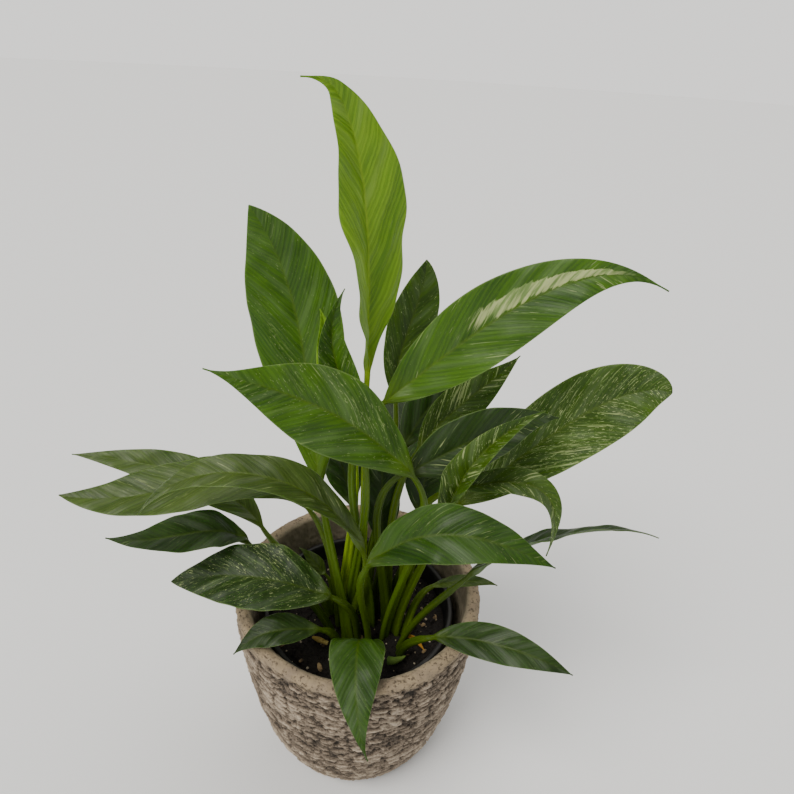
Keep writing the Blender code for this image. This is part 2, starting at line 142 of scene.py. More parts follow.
@dataclass
class Leaf:
    """One leaf, with its places and sizes in millimetres from the middle of the soil's surface.

    midrib holds the collar, the points a third and two thirds along the blade, and the tip. face is
    the azimuth and elevation of the upper side at mid blade. belly, base and point shape the
    outline, and fold, twist, camber, wave and ruffle the halves. flecks, streaks and stripe place
    the cream. hook bends the last tenth of the tip.
    """

    name: str
    foot: tuple
    midrib: list
    width: float
    face: tuple
    tone: Tone
    fold: float = 16
    belly: float = 0.4
    base: float = 0.8
    point: float = 1.15
    twist: float = 0
    wave: float = 0.05
    stalk: float = 1.7
    camber: float = 0.12
    flecks: float = 0.25
    streaks: float = 0.15
    stripe: tuple = ()
    hook: tuple = (0, 0, 0)
    ruffle: float = 1.0

    def __post_init__(self):
        for key in ("foot", "midrib", "width", "stalk", "hook"):
            setattr(self, key, np.array(getattr(self, key), float) / MILLIMETRES)


LEAVES = [
    Leaf("tall_leaf", foot=(2, 3), width=50, face=(-42, 5), tone=FRESH,
         midrib=[(0, 8, 200), (-1, 14, 252), (-7, 11, 318), (-26, -5, 360)],
         flecks=0.06, streaks=0.05, hook=(-7, -3, -3), ruffle=1.6, fold=24, belly=0.50, base=1.25,
         point=1.4, twist=-40),
    Leaf("left_broad_leaf", foot=(-5, -27), width=60, face=(-90, 5), tone=MEADOW,
         midrib=[(-30, 15, 108), (-41, 35, 186), (-54, 45, 244), (-74, 45, 287)],
         flecks=0.22, streaks=0.06, fold=12, belly=0.5, point=0.85),
    Leaf("small_folded_leaf", foot=(-7, -8), width=28, face=(-80, 10), tone=MEADOW,
         midrib=[(1, -14, 160), (-10, -6, 193), (-20, 2, 221), (-13, 0, 256)],
         flecks=0.30, streaks=0.2, fold=35),
    Leaf("young_left_leaf", foot=(-12, 3), width=18, face=(-80, 10), tone=FRESH,
         midrib=[(-17, 10, 176), (-23, 13, 197), (-25, 15, 218), (-29, 16, 237)],
         flecks=0.0, streaks=0.0, fold=30),
    Leaf("back_leaf", foot=(4, 16), width=32, face=(-80, 5), tone=MARBLED,
         midrib=[(18, 35, 168), (20, 45, 199), (28, 50, 230), (32, 52, 259)],
         flecks=0.35, belly=0.55, point=0.8),
    Leaf("mid_left_leaf", foot=(20, -20), width=46, face=(-100, 40), tone=MEADOW,
         midrib=[(31, -25, 151), (-4, -38, 193), (-37, -50, 217), (-71, -60, 233)],
         flecks=0.36, streaks=0.16, hook=(-3, 0, 1), fold=14, belly=0.45, point=1.4),
    Leaf("big_right_leaf", foot=(9, -9), width=43, face=(-80, 35), tone=MEADOW,
         midrib=[(12, -6, 190), (54, -10, 234), (100, -16, 271), (145, -25, 276)],
         flecks=0.12, streaks=0.22, stripe=(-1, 0.03, 0.42, 0.36, 0.90), hook=(4, 0, -2), belly=0.38,
         point=1.5),
    Leaf("under_right_leaf", foot=(20, 1), width=28, face=(-80, 40), tone=MARBLED,
         midrib=[(35, 12, 145), (53, 18, 169), (73, 22, 189), (92.5, 22, 212)],
         flecks=0.45, streaks=0.55),
    Leaf("dark_inner_leaf", foot=(20, 11), width=32, face=(-100, 40), tone=DEEP,
         midrib=[(26, 24, 137), (38, 30, 162), (53, 34, 179), (71, 37, 197)],
         flecks=0.08, streaks=0.1),
    Leaf("dark_right_leaf", foot=(21, -8), width=36, face=(-70, 30), tone=DEEP,
         midrib=[(28, -14, 146), (55, -18, 168), (82, -20, 187), (110, -22, 196)],
         flecks=0.10, streaks=0.25),
    Leaf("narrow_folded_leaf", foot=(27, -15), width=26, face=(-130, 20), tone=MARBLED,
         midrib=[(52, -26, 118), (58, -36, 156), (71, -42, 188), (95, -46, 214)],
         flecks=0.4, streaks=0.5, fold=40),
    Leaf("right_variegated_leaf", foot=(27, -3), width=50, face=(-90, 45), tone=MARBLED,
         midrib=[(64, 5, 107), (103, 8, 149), (143, 5, 191), (177, -5, 207)],
         flecks=0.62, streaks=0.28, ruffle=2.0, belly=0.55, point=0.65, wave=0.09),
    Leaf("hanging_leaf", foot=(29, -9), width=20, face=(-75, 45), tone=MARBLED,
         midrib=[(59, -8, 130), (87, -16, 144), (112, -27, 144), (118, -32, 101)],
         flecks=0.45, streaks=0.3, fold=26),
    Leaf("thin_right_leaf", foot=(31, -25), width=22, face=(90, 60), tone=DEEP,
         midrib=[(74, -25, 73), (107, -22, 99), (151, -18, 112), (193, -15, 106)],
         flecks=0.10, streaks=0.1, ruffle=2.0),
    Leaf("rim_small_leaf", foot=(34, -17), width=9, face=(-90, 60), tone=GREYED,
         midrib=[(53, -5, 39), (68, -6, 46), (84, -8, 50), (97, -10, 49)],
         flecks=0.0, streaks=0.0),
    Leaf("lower_right_leaf", foot=(30, -34), width=24, face=(-100, 60), tone=DEEP,
         midrib=[(52, -50, 41), (80, -58, 51), (109, -68, 53), (136, -75, 46)],
         flecks=0.12, streaks=0.05),
    Leaf("front_hanging_leaf", foot=(12, -36), width=35, face=(-90, 50), tone=SHADED,
         midrib=[(6, -45, 16), (4, -64, 46), (6, -95, 39), (15, -118, 18)],
         flecks=0.18, streaks=0.05, fold=6, belly=0.36, point=1.6),
    Leaf("front_left_small_leaf", foot=(-9, -35), width=22, face=(-90, 70), tone=DEEP,
         midrib=[(-22, -47, 38), (-43, -54, 45), (-60, -58, 42), (-75, -64, 31)],
         flecks=0.15, streaks=0.1),
    Leaf("left_speckled_leaf", foot=(2, -22), width=47, face=(-90, 70), tone=DEEP,
         midrib=[(-16, -38, 59), (-45, -40, 72), (-78, -38, 73), (-121, -35, 61)],
         flecks=0.52, streaks=0.05, ruffle=1.5, belly=0.5, point=0.8),
    Leaf("front_right_leaf", foot=(9, -27), width=36, face=(-90, 55), tone=SHADED,
         midrib=[(8, -45, 96), (39, -56, 133), (75, -62, 138), (113, -65, 124)],
         flecks=0.14, streaks=0.14, ruffle=1.3),
    Leaf("far_left_upper_leaf", foot=(-19, -2), width=32, face=(-90, 55), tone=GREYED,
         midrib=[(-74, 20, 62), (-112, 36, 84), (-163, 42, 96), (-216, 42, 101)],
         flecks=0.08, streaks=0.1),
    Leaf("far_left_wide_leaf", foot=(-13, -9), width=42, face=(-85, 70), tone=GREYED,
         midrib=[(-39, 12, 90), (-84, 6, 114), (-139, -3, 107), (-198, -9, 106)],
         flecks=0.15, belly=0.55, point=0.9),
    Leaf("arching_left_leaf", foot=(-6, -15), width=30, face=(-90, 75), tone=GREYED,
         midrib=[(3, -20, 82), (-35, -30, 140), (-87, -36, 152), (-130, -42, 123)],
         flecks=0.15, streaks=0.2, fold=20),
    Leaf("drooping_left_leaf", foot=(-15, -22), width=30, face=(-90, 65), tone=DEEP,
         midrib=[(-76, -12, 77), (-95, -23, 96), (-118, -40, 104), (-148, -50, 111)],
         flecks=0.08, streaks=0.08),
    Leaf("pot_back_small_leaf", foot=(-21, 8), width=12, face=(-60, 50), tone=GREYED,
         midrib=[(-27, 15, 23), (-33, 17, 29), (-39, 19, 36), (-47, 20, 44)],
         flecks=0.0, streaks=0.0, stalk=1),
    Leaf("back_left_leaf", foot=(-8, 14), width=28, face=(-80, 30), tone=DEEP,
         midrib=[(-10, 35, 75), (-16, 45, 95), (-24, 50, 114), (-34, 55, 131)],
         flecks=0.12, streaks=0.1),
    Leaf("centre_leaf", foot=(10, 3), width=26, face=(-80, 10), tone=DEEP,
         midrib=[(15, 8, 66), (13, 11, 96), (12, 13, 128), (13, 15, 159)],
         flecks=0.10, streaks=0.1),
    Leaf("inner_right_leaf", foot=(22, 6), width=28, face=(-90, 30), tone=DEEP,
         midrib=[(40, 14, 89), (41, 18, 112), (45, 20, 127), (54, 20, 143)],
         flecks=0.12, streaks=0.1),
    Leaf("rear_leaf", foot=(0, 20), width=40, face=(90, 70), tone=DEEP,
         midrib=[(14, 40, 80), (22, 75, 110), (27, 108, 122), (30, 142, 110)],
         flecks=0.20),
]


# Curves, rings and skins


def unit(vector):
    return vector / np.linalg.norm(vector)


def smooth_step(low, high, value):
    share = np.clip((value - low) / (high - low), 0, 1)
    return share * share * (3 - 2 * share)


def bezier(points, steps):
    """Points on a cubic Bezier curve at evenly spaced parameters."""
    a, b, c, d = (np.asarray(point, float) for point in points)
    t = np.linspace(0, 1, steps)[:, None]
    return (1 - t) ** 3 * a + 3 * (1 - t) ** 2 * t * b + 3 * (1 - t) * t**2 * c + t**3 * d


def handles_through(points):
    """The handles of the cubic Bezier that passes through four points at 0, 1/3, 2/3 and 1."""
    a, b, c, d = (np.asarray(point, float) for point in points)
    return [a, (-5 * a + 18 * b - 9 * c + 2 * d) / 6, (2 * a - 9 * b + 18 * c - 5 * d) / 6, d]


def skin(name, rings):
    """A closed mesh over a list of rings with the same number of points each.

    A ring whose points all coincide becomes a pole.
    """
    shape = bmesh.new()
    loops = [[shape.verts.new(point) for point in ring] for ring in rings]
    count = len(rings[0])
    for lower, upper in zip(loops, loops[1:]):
        for corner in range(count):
            after = (corner + 1) % count
            shape.faces.new((lower[corner], lower[after], upper[after], upper[corner]))
    shape.faces.new(loops[0][::-1])
    shape.faces.new(loops[-1])
    bmesh.ops.remove_doubles(shape, verts=shape.verts, dist=0.000001)
    bmesh.ops.recalc_face_normals(shape, faces=shape.faces)
    mesh = bpy.data.meshes.new(name)
    shape.to_mesh(mesh)
    shape.free()
    mesh.shade_smooth()
    return mesh


def turned(name, profile, sides):
    """A solid of revolution over a section of (radius, height) points."""
    rings = []
    for radius, height in profile:
        angles = 2 * pi * np.arange(sides) / sides
        reach = max(radius, 0.0000001)
        heights = np.full(sides, height)
        rings.append(np.column_stack([reach * np.cos(angles), reach * np.sin(angles), heights]))
    return skin(name, rings)


def densified(profile, spacing):
    """The same section with extra points, so that none of its steps is longer than spacing."""
    points = [profile[0]]
    for start, end in zip(profile, profile[1:]):
        reach = np.hypot(end[0] - start[0], end[1] - start[1])
        steps = max(int(np.ceil(reach / spacing)), 1)
        for step in range(1, steps + 1):
            share = step / steps
            points.append((start[0] + share * (end[0] - start[0]), start[1] + share * (end[1] - start[1])))
    return points


# Pieces


def link(obj):
    bpy.context.scene.collection.objects.link(obj)
    return obj


def dress(piece, slot, *nodes):
    """Hands a finished piece to the frame: its body and the solids that it replaces. The slot is not used."""
    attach(piece, BODY)
    if nodes:
        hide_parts(*nodes)
    return piece


def mesh_piece(name, mesh, finish):
    piece = link(bpy.data.objects.new(name, mesh))
    mesh.materials.clear()
    mesh.materials.append(finish)
    return piece


def grown(name, tree, values):
    """A plain mesh object made by a Geometry Nodes tree from named input values."""
    piece = link(bpy.data.objects.new(name, bpy.data.meshes.new(name)))
    modifier = piece.modifiers.new(tree.name, "NODES")
    modifier.node_group = tree
    for item in tree.interface.items_tree:
        if item.item_type == "SOCKET" and item.in_out == "INPUT" and item.name in values:
            modifier[item.identifier] = values[item.name]
    bpy.context.view_layer.update()
    graph = bpy.context.evaluated_depsgraph_get()
    mesh = bpy.data.meshes.new_from_object(piece.evaluated_get(graph))
    piece.modifiers.clear()
    piece.data = mesh
    mesh.name = name
    return piece


# Node graphs


def as_first(operation):
    """An operator that gives the signal to a Math node as its first value."""
    return lambda self, other: self.graph.math(operation, self, other)


def as_second(operation):
    return lambda self, other: self.graph.math(operation, other, self)


class Signal:
    """A socket that takes part in Python arithmetic by adding Math nodes to its graph."""

    def __init__(self, graph, socket):
        self.graph = graph
        self.socket = socket

    __add__, __radd__ = as_first("ADD"), as_second("ADD")
    __sub__, __rsub__ = as_first("SUBTRACT"), as_second("SUBTRACT")
    __mul__, __rmul__ = as_first("MULTIPLY"), as_second("MULTIPLY")
    __truediv__ = as_first("DIVIDE")
    __lt__, __gt__ = as_first("LESS_THAN"), as_first("GREATER_THAN")

    def __abs__(self):
        return self.graph.math("ABSOLUTE", self)


class Graph:
    """Adds nodes to one shader or geometry tree."""

    def __init__(self, tree):
        self.tree = tree

    def node(self, kind, inputs=None, **settings):
        """A node of that type, with its settings and then values or links for its sockets."""
        made = self.tree.nodes.new(kind)
        for key, value in settings.items():
            setattr(made, key, value)
        for key, value in (inputs or {}).items():
            self.feed(made.inputs[key], value)
        return made

    def feed(self, socket, value):
        if isinstance(value, Signal):
            self.tree.links.new(value.socket, socket)
        else:
            socket.default_value = value

    def out(self, node, key=0):
        return Signal(self, node.outputs[key])

    def get(self, kind, inputs=None, key=0, **settings):
        """One output of a new node."""
        return self.out(self.node(kind, inputs, **settings), key)

    def math(self, operation, *values):
        return self.get("ShaderNodeMath", dict(enumerate(values)), operation=operation)

    def vector(self, x, y, z):
        return self.get("ShaderNodeCombineXYZ", {"X": x, "Y": y, "Z": z})

    def scaled(self, vector, scale):
        return self.get("ShaderNodeVectorMath", {0: vector, "Scale": scale}, operation="SCALE")

    def split(self, vector):
        parts = self.node("ShaderNodeSeparateXYZ", {"Vector": vector})
        return [self.out(parts, axis) for axis in "XYZ"]

    def fade(self, value, low, high):
        """0 below low, 1 above high, smooth in between."""
        places = {"Value": value, "From Min": low, "From Max": high}
        return self.get("ShaderNodeMapRange", places, "Result", interpolation_type="SMOOTHSTEP")

    def piecewise(self, value, places):
        """A broken line through (value, result) pairs."""
        total = places[0][1]
        for (low, start), (high, end) in zip(places, places[1:]):
            span = {"Value": value, "From Min": low, "From Max": high}
            total = self.get("ShaderNodeMapRange", span, "Result") * (end - start) + total
        return total

    def noise(self, vector, scale, detail=2.0, roughness=0.5):
        look = {"Vector": vector, "Scale": scale, "Detail": detail, "Roughness": roughness}
        return self.get("ShaderNodeTexNoise", look)

    def voronoi(self, vector, feature, output):
        look = {"Vector": vector, "Scale": 1.0, "Randomness": 1.0}
        return self.get("ShaderNodeTexVoronoi", look, output, feature=feature)

    def mix(self, share, first, second):
        """A colour between two colours."""
        first, second = (end if isinstance(end, Signal) else (*end, 1.0) for end in (first, second))
        return self.get("ShaderNodeMix", {0: share, 6: first, 7: second}, 2, data_type="RGBA")

    def ramp(self, value, stops):
        """A colour from (place, colour) stops."""
        made = self.node("ShaderNodeValToRGB", {"Fac": value})
        while len(made.color_ramp.elements) < len(stops):
            made.color_ramp.elements.new(1.0)
        for element, (place, color) in zip(made.color_ramp.elements, stops):
            element.position = place
            element.color = (*color, 1.0)
        return self.out(made, "Color")


class Finish(Graph):
    """A material built on one Principled BSDF."""

    def __init__(self, name):
        self.material = bpy.data.materials.new(name)
        self.material.use_nodes = True
        super().__init__(self.material.node_tree)
        self.shader = self.tree.nodes["Principled BSDF"]

    def set(self, **values):
        for key, value in values.items():
            self.feed(self.shader.inputs[key.replace("_", " ")], value)
        return self.material

    def place(self):
        return self.get("ShaderNodeTexCoord", None, "Object")

    def attribute(self, name, output="Fac"):
        return self.get("ShaderNodeAttribute", None, output, attribute_name=name)

    def bump(self, height, distance, strength=1.0):
        return self.get("ShaderNodeBump", {"Height": height, "Distance": distance, "Strength": strength})


# Finishes


def stone_finish(look):
    """Layered stone: pale ledges with painted highlights on their crests over crevices darkened by painted
    shade, a creamier rim with pits of painted shade, and fine grit.
    """
    make = Finish("layered_stone")
    place = make.place()
    relief = make.attribute("relief")
    rim = make.attribute("rim")
    inner = make.attribute("inner")
    grit = make.noise(place, 900, 3.0, 0.6)
    mottle = make.noise(place, 130, 3.0, 0.6)
    height = relief * 0.82 + grit * 0.50 + mottle * 0.16 - 0.345
    # Painted shade and highlight: the ramp follows the relief, so the gaps take crevice and the low parts of
    # the layers take shade, both painted shade, and the crests take crest, a painted highlight on their lit
    # edges; ledge is the stone's own colour.
    stone = make.ramp(
        height,
        [
            (0.16, tuple(look.crevice)),
            (0.32, tuple(look.shade)),
            (0.50, tuple(look.ledge)),
            (0.76, tuple(look.crest)),
        ],
    )
    # Painted shade: pits on the rim take the shade colour, with no hollow in the surface under them.
    pits = make.fade(make.noise(place, 430, 3.0, 0.65), 0.54, 0.63)
    stain = make.fade(make.noise(place, 75, 4.0, 0.65), 0.42, 0.66)
    cream = make.mix(stain * 0.75, tuple(look.rim), tuple(look.ledge))
    cream = make.mix(pits * 0.85, cream, tuple(look.shade))
    washed = make.mix(rim * make.fade(relief + mottle * 0.8, 0.55, 0.95), stone, cream)
    shaded = make.mix(inner * 0.72, washed, tuple(look.inside))
    return make.set(
        Base_Color=shaded,
        Roughness=0.82 + grit * 0.15,
        Normal=make.bump(grit * 0.6 + mottle, 0.0012, 0.8),
        Specular_IOR_Level=0.3,
    )


def plastic_finish():
    """Thin black moulded plastic with dust and a top edge greyed by painted highlight, more where dust lies.
    """
    make = Finish("nursery_plastic")
    place = make.place()
    height = make.split(place)[2]
    dust = make.fade(make.noise(place, 60, 4.0, 0.6), 0.48, 0.75)
    # Painted highlight: the top edge is greyed a little all round for the light the rim catches, and more
    # where dust lies.
    painted_rim_highlight = make.fade(height, NURSERY_HIGH.z - 0.0016, NURSERY_HIGH.z - 0.0002)
    base = make.mix(dust * 0.35, (0.008, 0.008, 0.008), (0.030, 0.028, 0.025))
    edge = make.mix(painted_rim_highlight * (0.10 + dust * 0.4), base, (0.055, 0.054, 0.052))
    return make.set(
        Base_Color=edge,
        Roughness=0.55 + dust * 0.3,
        Normal=make.bump(make.noise(place, 700, 2.0), 0.0003, 0.5),
    )


def peat_finish(look):
    """Dark damp peat."""
    make = Finish("damp_peat")
    place = make.place()
    clods = make.noise(place, 260, 5.0, 0.7)
    fibre = make.noise(place, 1400, 3.0, 0.6)
    color = make.ramp(
        clods * 0.6 + fibre * 0.5 - 0.05,
        [(0.25, (0.0035, 0.0025, 0.002)), (0.55, tuple(look.peat)), (0.80, (0.045, 0.030, 0.020))],
    )
    return make.set(
        Base_Color=color,
        Roughness=0.70 + fibre * 0.3,
        Normal=make.bump(clods + fibre * 0.4, 0.003, 1.0),
    )


def grain_finish(name, dark, light, scale):
    """Broken mineral or wood grains, each with its own shade."""
    make = Finish(name)
    place = make.place()
    shade = make.noise(place, scale, 3.0, 0.6)
    fine = make.noise(place, scale * 12, 3.0, 0.6)
    return make.set(
        Base_Color=make.mix(make.fade(shade, 0.38, 0.62), dark, light),
        Roughness=0.72 + fine * 0.25,
        Normal=make.bump(fine, 0.0006, 0.8),
    )


def leaf_finish(leaf, number):
    """Waxy leaf: greens between curved side veins with painted shade in the veins' hollows, painted sheen in
    pale streaks, cream marbling, pale midrib and margin.
    """
    make = Finish(leaf.name + "_finish")
    along, across, _ = make.split(make.get("ShaderNodeUVMap", uv_map="veins"))
    share, place, under = make.split(make.attribute("blade", "Vector"))
    reach = abs(across)
    blade = make.fade(share, 0.0, 0.05)
    vein = along - reach * VEIN_LEAN - reach * reach * VEIN_CURVE
    side = (across > 0) * 7.3 + number * 3.7

    def streaked(stretch, spread, shift, detail=3.0, roughness=0.6):
        """Noise drawn out along the side veins, different on each half of each leaf."""
        place = make.vector(vein * stretch, reach * spread, shift)
        return make.noise(place, 1.0, detail, roughness)

    drift = streaked(120, 30, side + 8.8, 2.0, 0.5) * 0.012
    ribs = make.math("SINE", (vein + drift) * (2 * pi / VEIN_SPACING)) * 0.5 + 0.5
    threads = make.math("SINE", (vein + drift) * (2 * pi / VEIN_SPACING * 3.0)) * 0.5 + 0.5
    cloud = streaked(30, 22, side, 2.0, 0.5)
    grain = streaked(1500, 260, side)
    # tone mixes the leaf's own random patches and lighter base with ribs, bands along the side veins that
    # paint shade in their hollows.
    tone = ribs * 0.20 + cloud * 1.05 + grain * 0.42 + (1 - share) * 0.10 - 0.36
    green = make.mix(make.fade(tone, 0.05, 0.95), leaf.tone.dark, leaf.tone.light)
    # Painted sheen: pale streaks along the side veins lighten the green as if the waxy blade reflected light.
    gleam = streaked(75, 20, side + 12.6, 2.0, 0.5)
    painted_sheen = make.fade(gleam + grain * 0.15, 0.56, 0.78)
    green = make.mix(painted_sheen * 0.42, green, tuple(0.7 * part + 0.06 for part in leaf.tone.light))

    marks = make.mix(make.fade(threads * cloud, 0.0, 0.55), CREAM, PALE_GREEN)
    flake = streaked(1000, 640, side + 1.7, roughness=0.65)
    where = streaked(42, 30, side + 5.1, 2.0, 0.5)
    bias = leaf.flecks * 0.17
    fleck = make.fade(flake + where * 0.20, 0.80 - bias, 0.835 - bias)
    fleck = fleck * min(leaf.flecks * 3, 1)
    long_flake = streaked(420, 80, side + 9.4)
    bias = leaf.streaks * 0.16
    streak = make.fade(long_flake + where * 0.25, 0.795 - bias, 0.83 - bias)
    streak = streak * min(leaf.streaks * 3, 1)
    haze = streaked(210, 60, side + 3.2)
    hazy = make.fade(haze + where * 0.3, 0.78 - leaf.flecks * 0.16, 0.95)
    hazy = hazy * min(leaf.flecks * 1.6, 1)
    color = make.mix(hazy * 0.55, green, PALE_GREEN)
    color = make.mix(make.math("MAXIMUM", fleck, streak) * 0.8, color, marks)
    if leaf.stripe:
        half, inner, outer, start, end = leaf.stripe
        torn = streaked(260, 90, side + 4.4) - 0.5
        edge = place * half + torn * 0.35
        band = make.fade(edge, inner, inner + 0.05) * make.fade(edge, outer + 0.04, outer)
        length = make.fade(share + torn * 0.3, start, start + 0.08)
        length = length * make.fade(share + torn * 0.2, end, end - 0.1)
        core = make.fade(torn, -0.14, 0.06)
        color = make.mix(band * length * 0.92, color, make.mix(core, PALE_GREEN, CREAM))

    midrib = make.fade(reach, 0.0013, 0.0004) * make.fade(share, 1.0, 0.55)
    color = make.mix(midrib * 0.38, color, leaf.tone.stalk)
    color = make.mix(make.fade(share, 0.16, -0.02) * 0.7, color, leaf.tone.stalk)
    color = make.mix(make.fade(abs(place), 0.955, 0.99) * blade * 0.35, color, PALE_GREEN)
    pale = make.mix(0.45, color, (0.16, 0.24, 0.10))
    color = make.mix(under * blade * 0.8, color, pale)
    stripes = make.noise(make.vector(across * 2600, along * 40, side), 1.0, 2.0)
    stalk = make.mix(make.fade(stripes, 0.35, 0.7) * 0.5, leaf.tone.stalk, leaf.tone.light)
    color = make.mix(blade, stalk, color)

    height = ribs * 0.26 + threads * 0.10 + grain * 0.16 + cloud * 0.4
    return make.set(
        Base_Color=color,
        Roughness=leaf.tone.gloss + 0.05 + grain * 0.14 + under * 0.18,
        Normal=make.bump(height, 0.0006, 0.75),
        Coat_Weight=0.03,
        Coat_Roughness=0.30,
        Specular_IOR_Level=0.27,
        Subsurface_Weight=0.12,
        Subsurface_Radius=(0.0016, 0.0024, 0.0006),
        Subsurface_Scale=1.0,
    )


# The stone pot


def pot_wall(offset=0.0, steps=60):
    """(radius, height) along the pot's side, from the base up, moved inwards by offset."""
    handles = [
        (BASE_RADIUS, 0),
        (BASE_RADIUS + 0.017, 0.12 * POT_HEIGHT),
        (RIM_RADIUS - 0.0015, 0.56 * POT_HEIGHT),
        (RIM_RADIUS, POT_HEIGHT),
    ]
    return [(radius - offset, height) for radius, height in bezier(handles, steps)]


def pot_section():
    """Inner floor, inner wall up, rounded rim, outer wall down, underside."""
    inside = [point for point in pot_wall(POT_WALL) if POT_FLOOR + 0.008 < point[1] < POT_HEIGHT - LIP_ROUND]
    outside = [point for point in pot_wall() if point[1] < POT_HEIGHT - LIP_ROUND]
    lip_half = POT_WALL / 2
    lip = []
    for angle in np.linspace(pi, 0, 15):
        radius = RIM_RADIUS - lip_half + lip_half * cos(angle)
        lip.append((radius, POT_HEIGHT - LIP_ROUND + LIP_ROUND * sin(angle)))
    corner = inside[0][0] - 0.003
    return [(0, POT_FLOOR), (corner - 0.004, POT_FLOOR), *inside, *lip, *outside[::-1], (0, 0)]


def row_places(section):
    """Pairs of row share and length share, so that most rows lie on the outer wall."""
    runs = [np.hypot(b[0] - a[0], b[1] - a[1]) for a, b in zip(section, section[1:])]
    reach = np.concatenate([[0], np.cumsum(runs)]) / sum(runs)
    radii = np.array([point[0] for point in section])
    top = next(i for i, point in enumerate(section) if point[1] > POT_HEIGHT - LIP_ROUND - 0.001)
    lip_end = int(np.argmax(radii))
    marks = [0.0, reach[2], reach[top], reach[lip_end], reach[-2], 1.0]
    return list(zip([0.0, 0.03, 0.23, 0.31, 0.97, 1.0], marks))


def section_curve(section):
    """The pot's section as a curve in the XZ plane, for Sample Curve."""
    data = bpy.data.curves.new("pot_section", "CURVE")
    data.dimensions = "3D"
    spline = data.splines.new("POLY")
    spline.points.add(len(section) - 1)
    for point, (radius, height) in zip(spline.points, section):
        point.co = (radius, 0, height, 1)
    guide = link(bpy.data.objects.new("pot_section", data))
    guide.hide_render = True
    return guide


def new_tree(name, **kinds):
    """A geometry tree with one geometry output and an input of that kind for each name."""
    tree = bpy.data.node_groups.new(name, "GeometryNodeTree")
    for label, kind in kinds.items():
        tree.interface.new_socket(label, in_out="INPUT", socket_type="NodeSocket" + kind)
    tree.interface.new_socket("Geometry", in_out="OUTPUT", socket_type="NodeSocketGeometry")
    graph = Graph(tree)
    entry = graph.node("NodeGroupInput")
    return graph, {label: graph.out(entry, label) for label in kinds}


def finish_tree(graph, geometry, material):
    """Ends the tree in real geometry with its material, and gives the tree."""
    real = graph.get("GeometryNodeRealizeInstances", {"Geometry": geometry})
    dressed = graph.get("GeometryNodeSetMaterial", {"Geometry": real, "Material": material})
    graph.node("NodeGroupOutput", {0: dressed})
    return graph.tree


def store(graph, geometry, name, value):
    inputs = {"Geometry": geometry, "Name": name, "Value": value}
    return graph.get("GeometryNodeStoreNamedAttribute", inputs, data_type="FLOAT", domain="POINT")


def layered_wall_tree():
    """Turns the section and breaks its surface into thin, ragged, overlapping layers."""
    g, given = new_tree(
        "Layered stone wall", Section="Object", Sides="Int", Rows="Int", Layer_Height="Float",
        Flake_Length="Float", Depth="Float", Foot="Float", Rim_Height="Float", Rim_Band="Float",
        Material="Material",
    )
    grid = {"Size X": 1.0, "Size Y": 1.0, "Vertices X": given["Sides"], "Vertices Y": given["Rows"]}
    sheet = g.get("GeometryNodeMeshGrid", grid)
    turn, rise, _ = g.split(g.get("GeometryNodeInputPosition"))
    section = g.get("GeometryNodeObjectInfo", {"Object": given["Section"]}, "Geometry")
    along = g.piecewise(rise + 0.5, row_places(pot_section()))
    sample = g.node("GeometryNodeSampleCurve", {"Curves": section, "Factor": along}, mode="FACTOR")
    radius, _, height = g.split(g.out(sample, "Position"))
    slope_out, _, slope_up = g.split(g.out(sample, "Tangent"))
    normal_out = slope_up * -1.0
    angle = turn * (2 * pi)
    east = g.math("COSINE", angle)
    north = g.math("SINE", angle)

    place = g.vector(radius * east, radius * north, height)
    sway = (g.noise(place, 22, 2.0) - 0.5) * 0.011 + (g.noise(place, 120, 2.0) - 0.5) * 0.0026
    flake = given["Flake_Length"]
    warp = (g.noise(place, 90, 2.0) - 0.5) * 0.6
    layered = g.vector(
        radius * east / flake + warp,
        radius * north / flake - warp,
        (height + sway) / given["Layer_Height"],
    )
    cell = g.split(g.voronoi(layered, "F1", "Color"))[0]
    seam = g.fade(g.voronoi(layered, "DISTANCE_TO_EDGE", "Distance"), 0.0, 0.13)
    chips = g.noise(g.vector(radius * east * 240, radius * north * 240, (height + sway) * 760), 1.0, 4.0, 0.7)
    swell = g.noise(place, 34, 2.0)
    broken = (cell * 0.60 + 0.40) * (seam * 0.62 + 0.12) + chips * 0.75 - 0.26 + (swell - 0.5) * 0.4

    wall = g.fade(normal_out, 0.15, 0.8) * g.fade(height, 0.0, given["Foot"])
    inner = g.fade(normal_out, -0.15, -0.8)
    ragged = sway * 1.4 + (chips - 0.5) * 0.012
    rim = given["Rim_Height"]
    top = g.fade(height + ragged, rim - given["Rim_Band"], rim - 0.003)
    lip = g.fade(slope_out, 0.1, 0.7)
    strength = wall * (1 - top * 0.62) + inner * 0.30 + lip * 0.45 * (1 - inner)
    washed = g.math("MAXIMUM", top, lip) * 0.55
    relief = broken * (1 - washed) + (chips * 0.7 + 0.28) * washed
    push = (relief - 0.55) * given["Depth"] * g.math("MINIMUM", strength, 1.0)
    radius_out = radius + normal_out * push
    moved = g.vector(radius_out * east, radius_out * north, height + slope_out * push)
    # relief also sets the stone's colour: painted shade where it is low, painted highlight where it is high.
    marked = store(g, sheet, "relief", relief)
    marked = store(g, marked, "rim", g.math("MAXIMUM", top, lip))
    marked = store(g, marked, "inner", inner)
    shaped = g.get("GeometryNodeSetPosition", {"Geometry": marked, "Position": moved})
    merged = g.get("GeometryNodeMergeByDistance", {"Geometry": shaped, "Distance": 0.00002})
    smooth = g.get("GeometryNodeSetShadeSmooth", {"Geometry": merged, "Shade Smooth": True})
    return finish_tree(g, smooth, given["Material"])


def outward(mesh):
    """Turns a closed mesh's faces to point out."""
    shape = bmesh.new()
    shape.from_mesh(mesh)
    bmesh.ops.recalc_face_normals(shape, faces=shape.faces)
    shape.to_mesh(mesh)
    shape.free()
    return mesh


# Nursery pot, potting mix and what lies on it


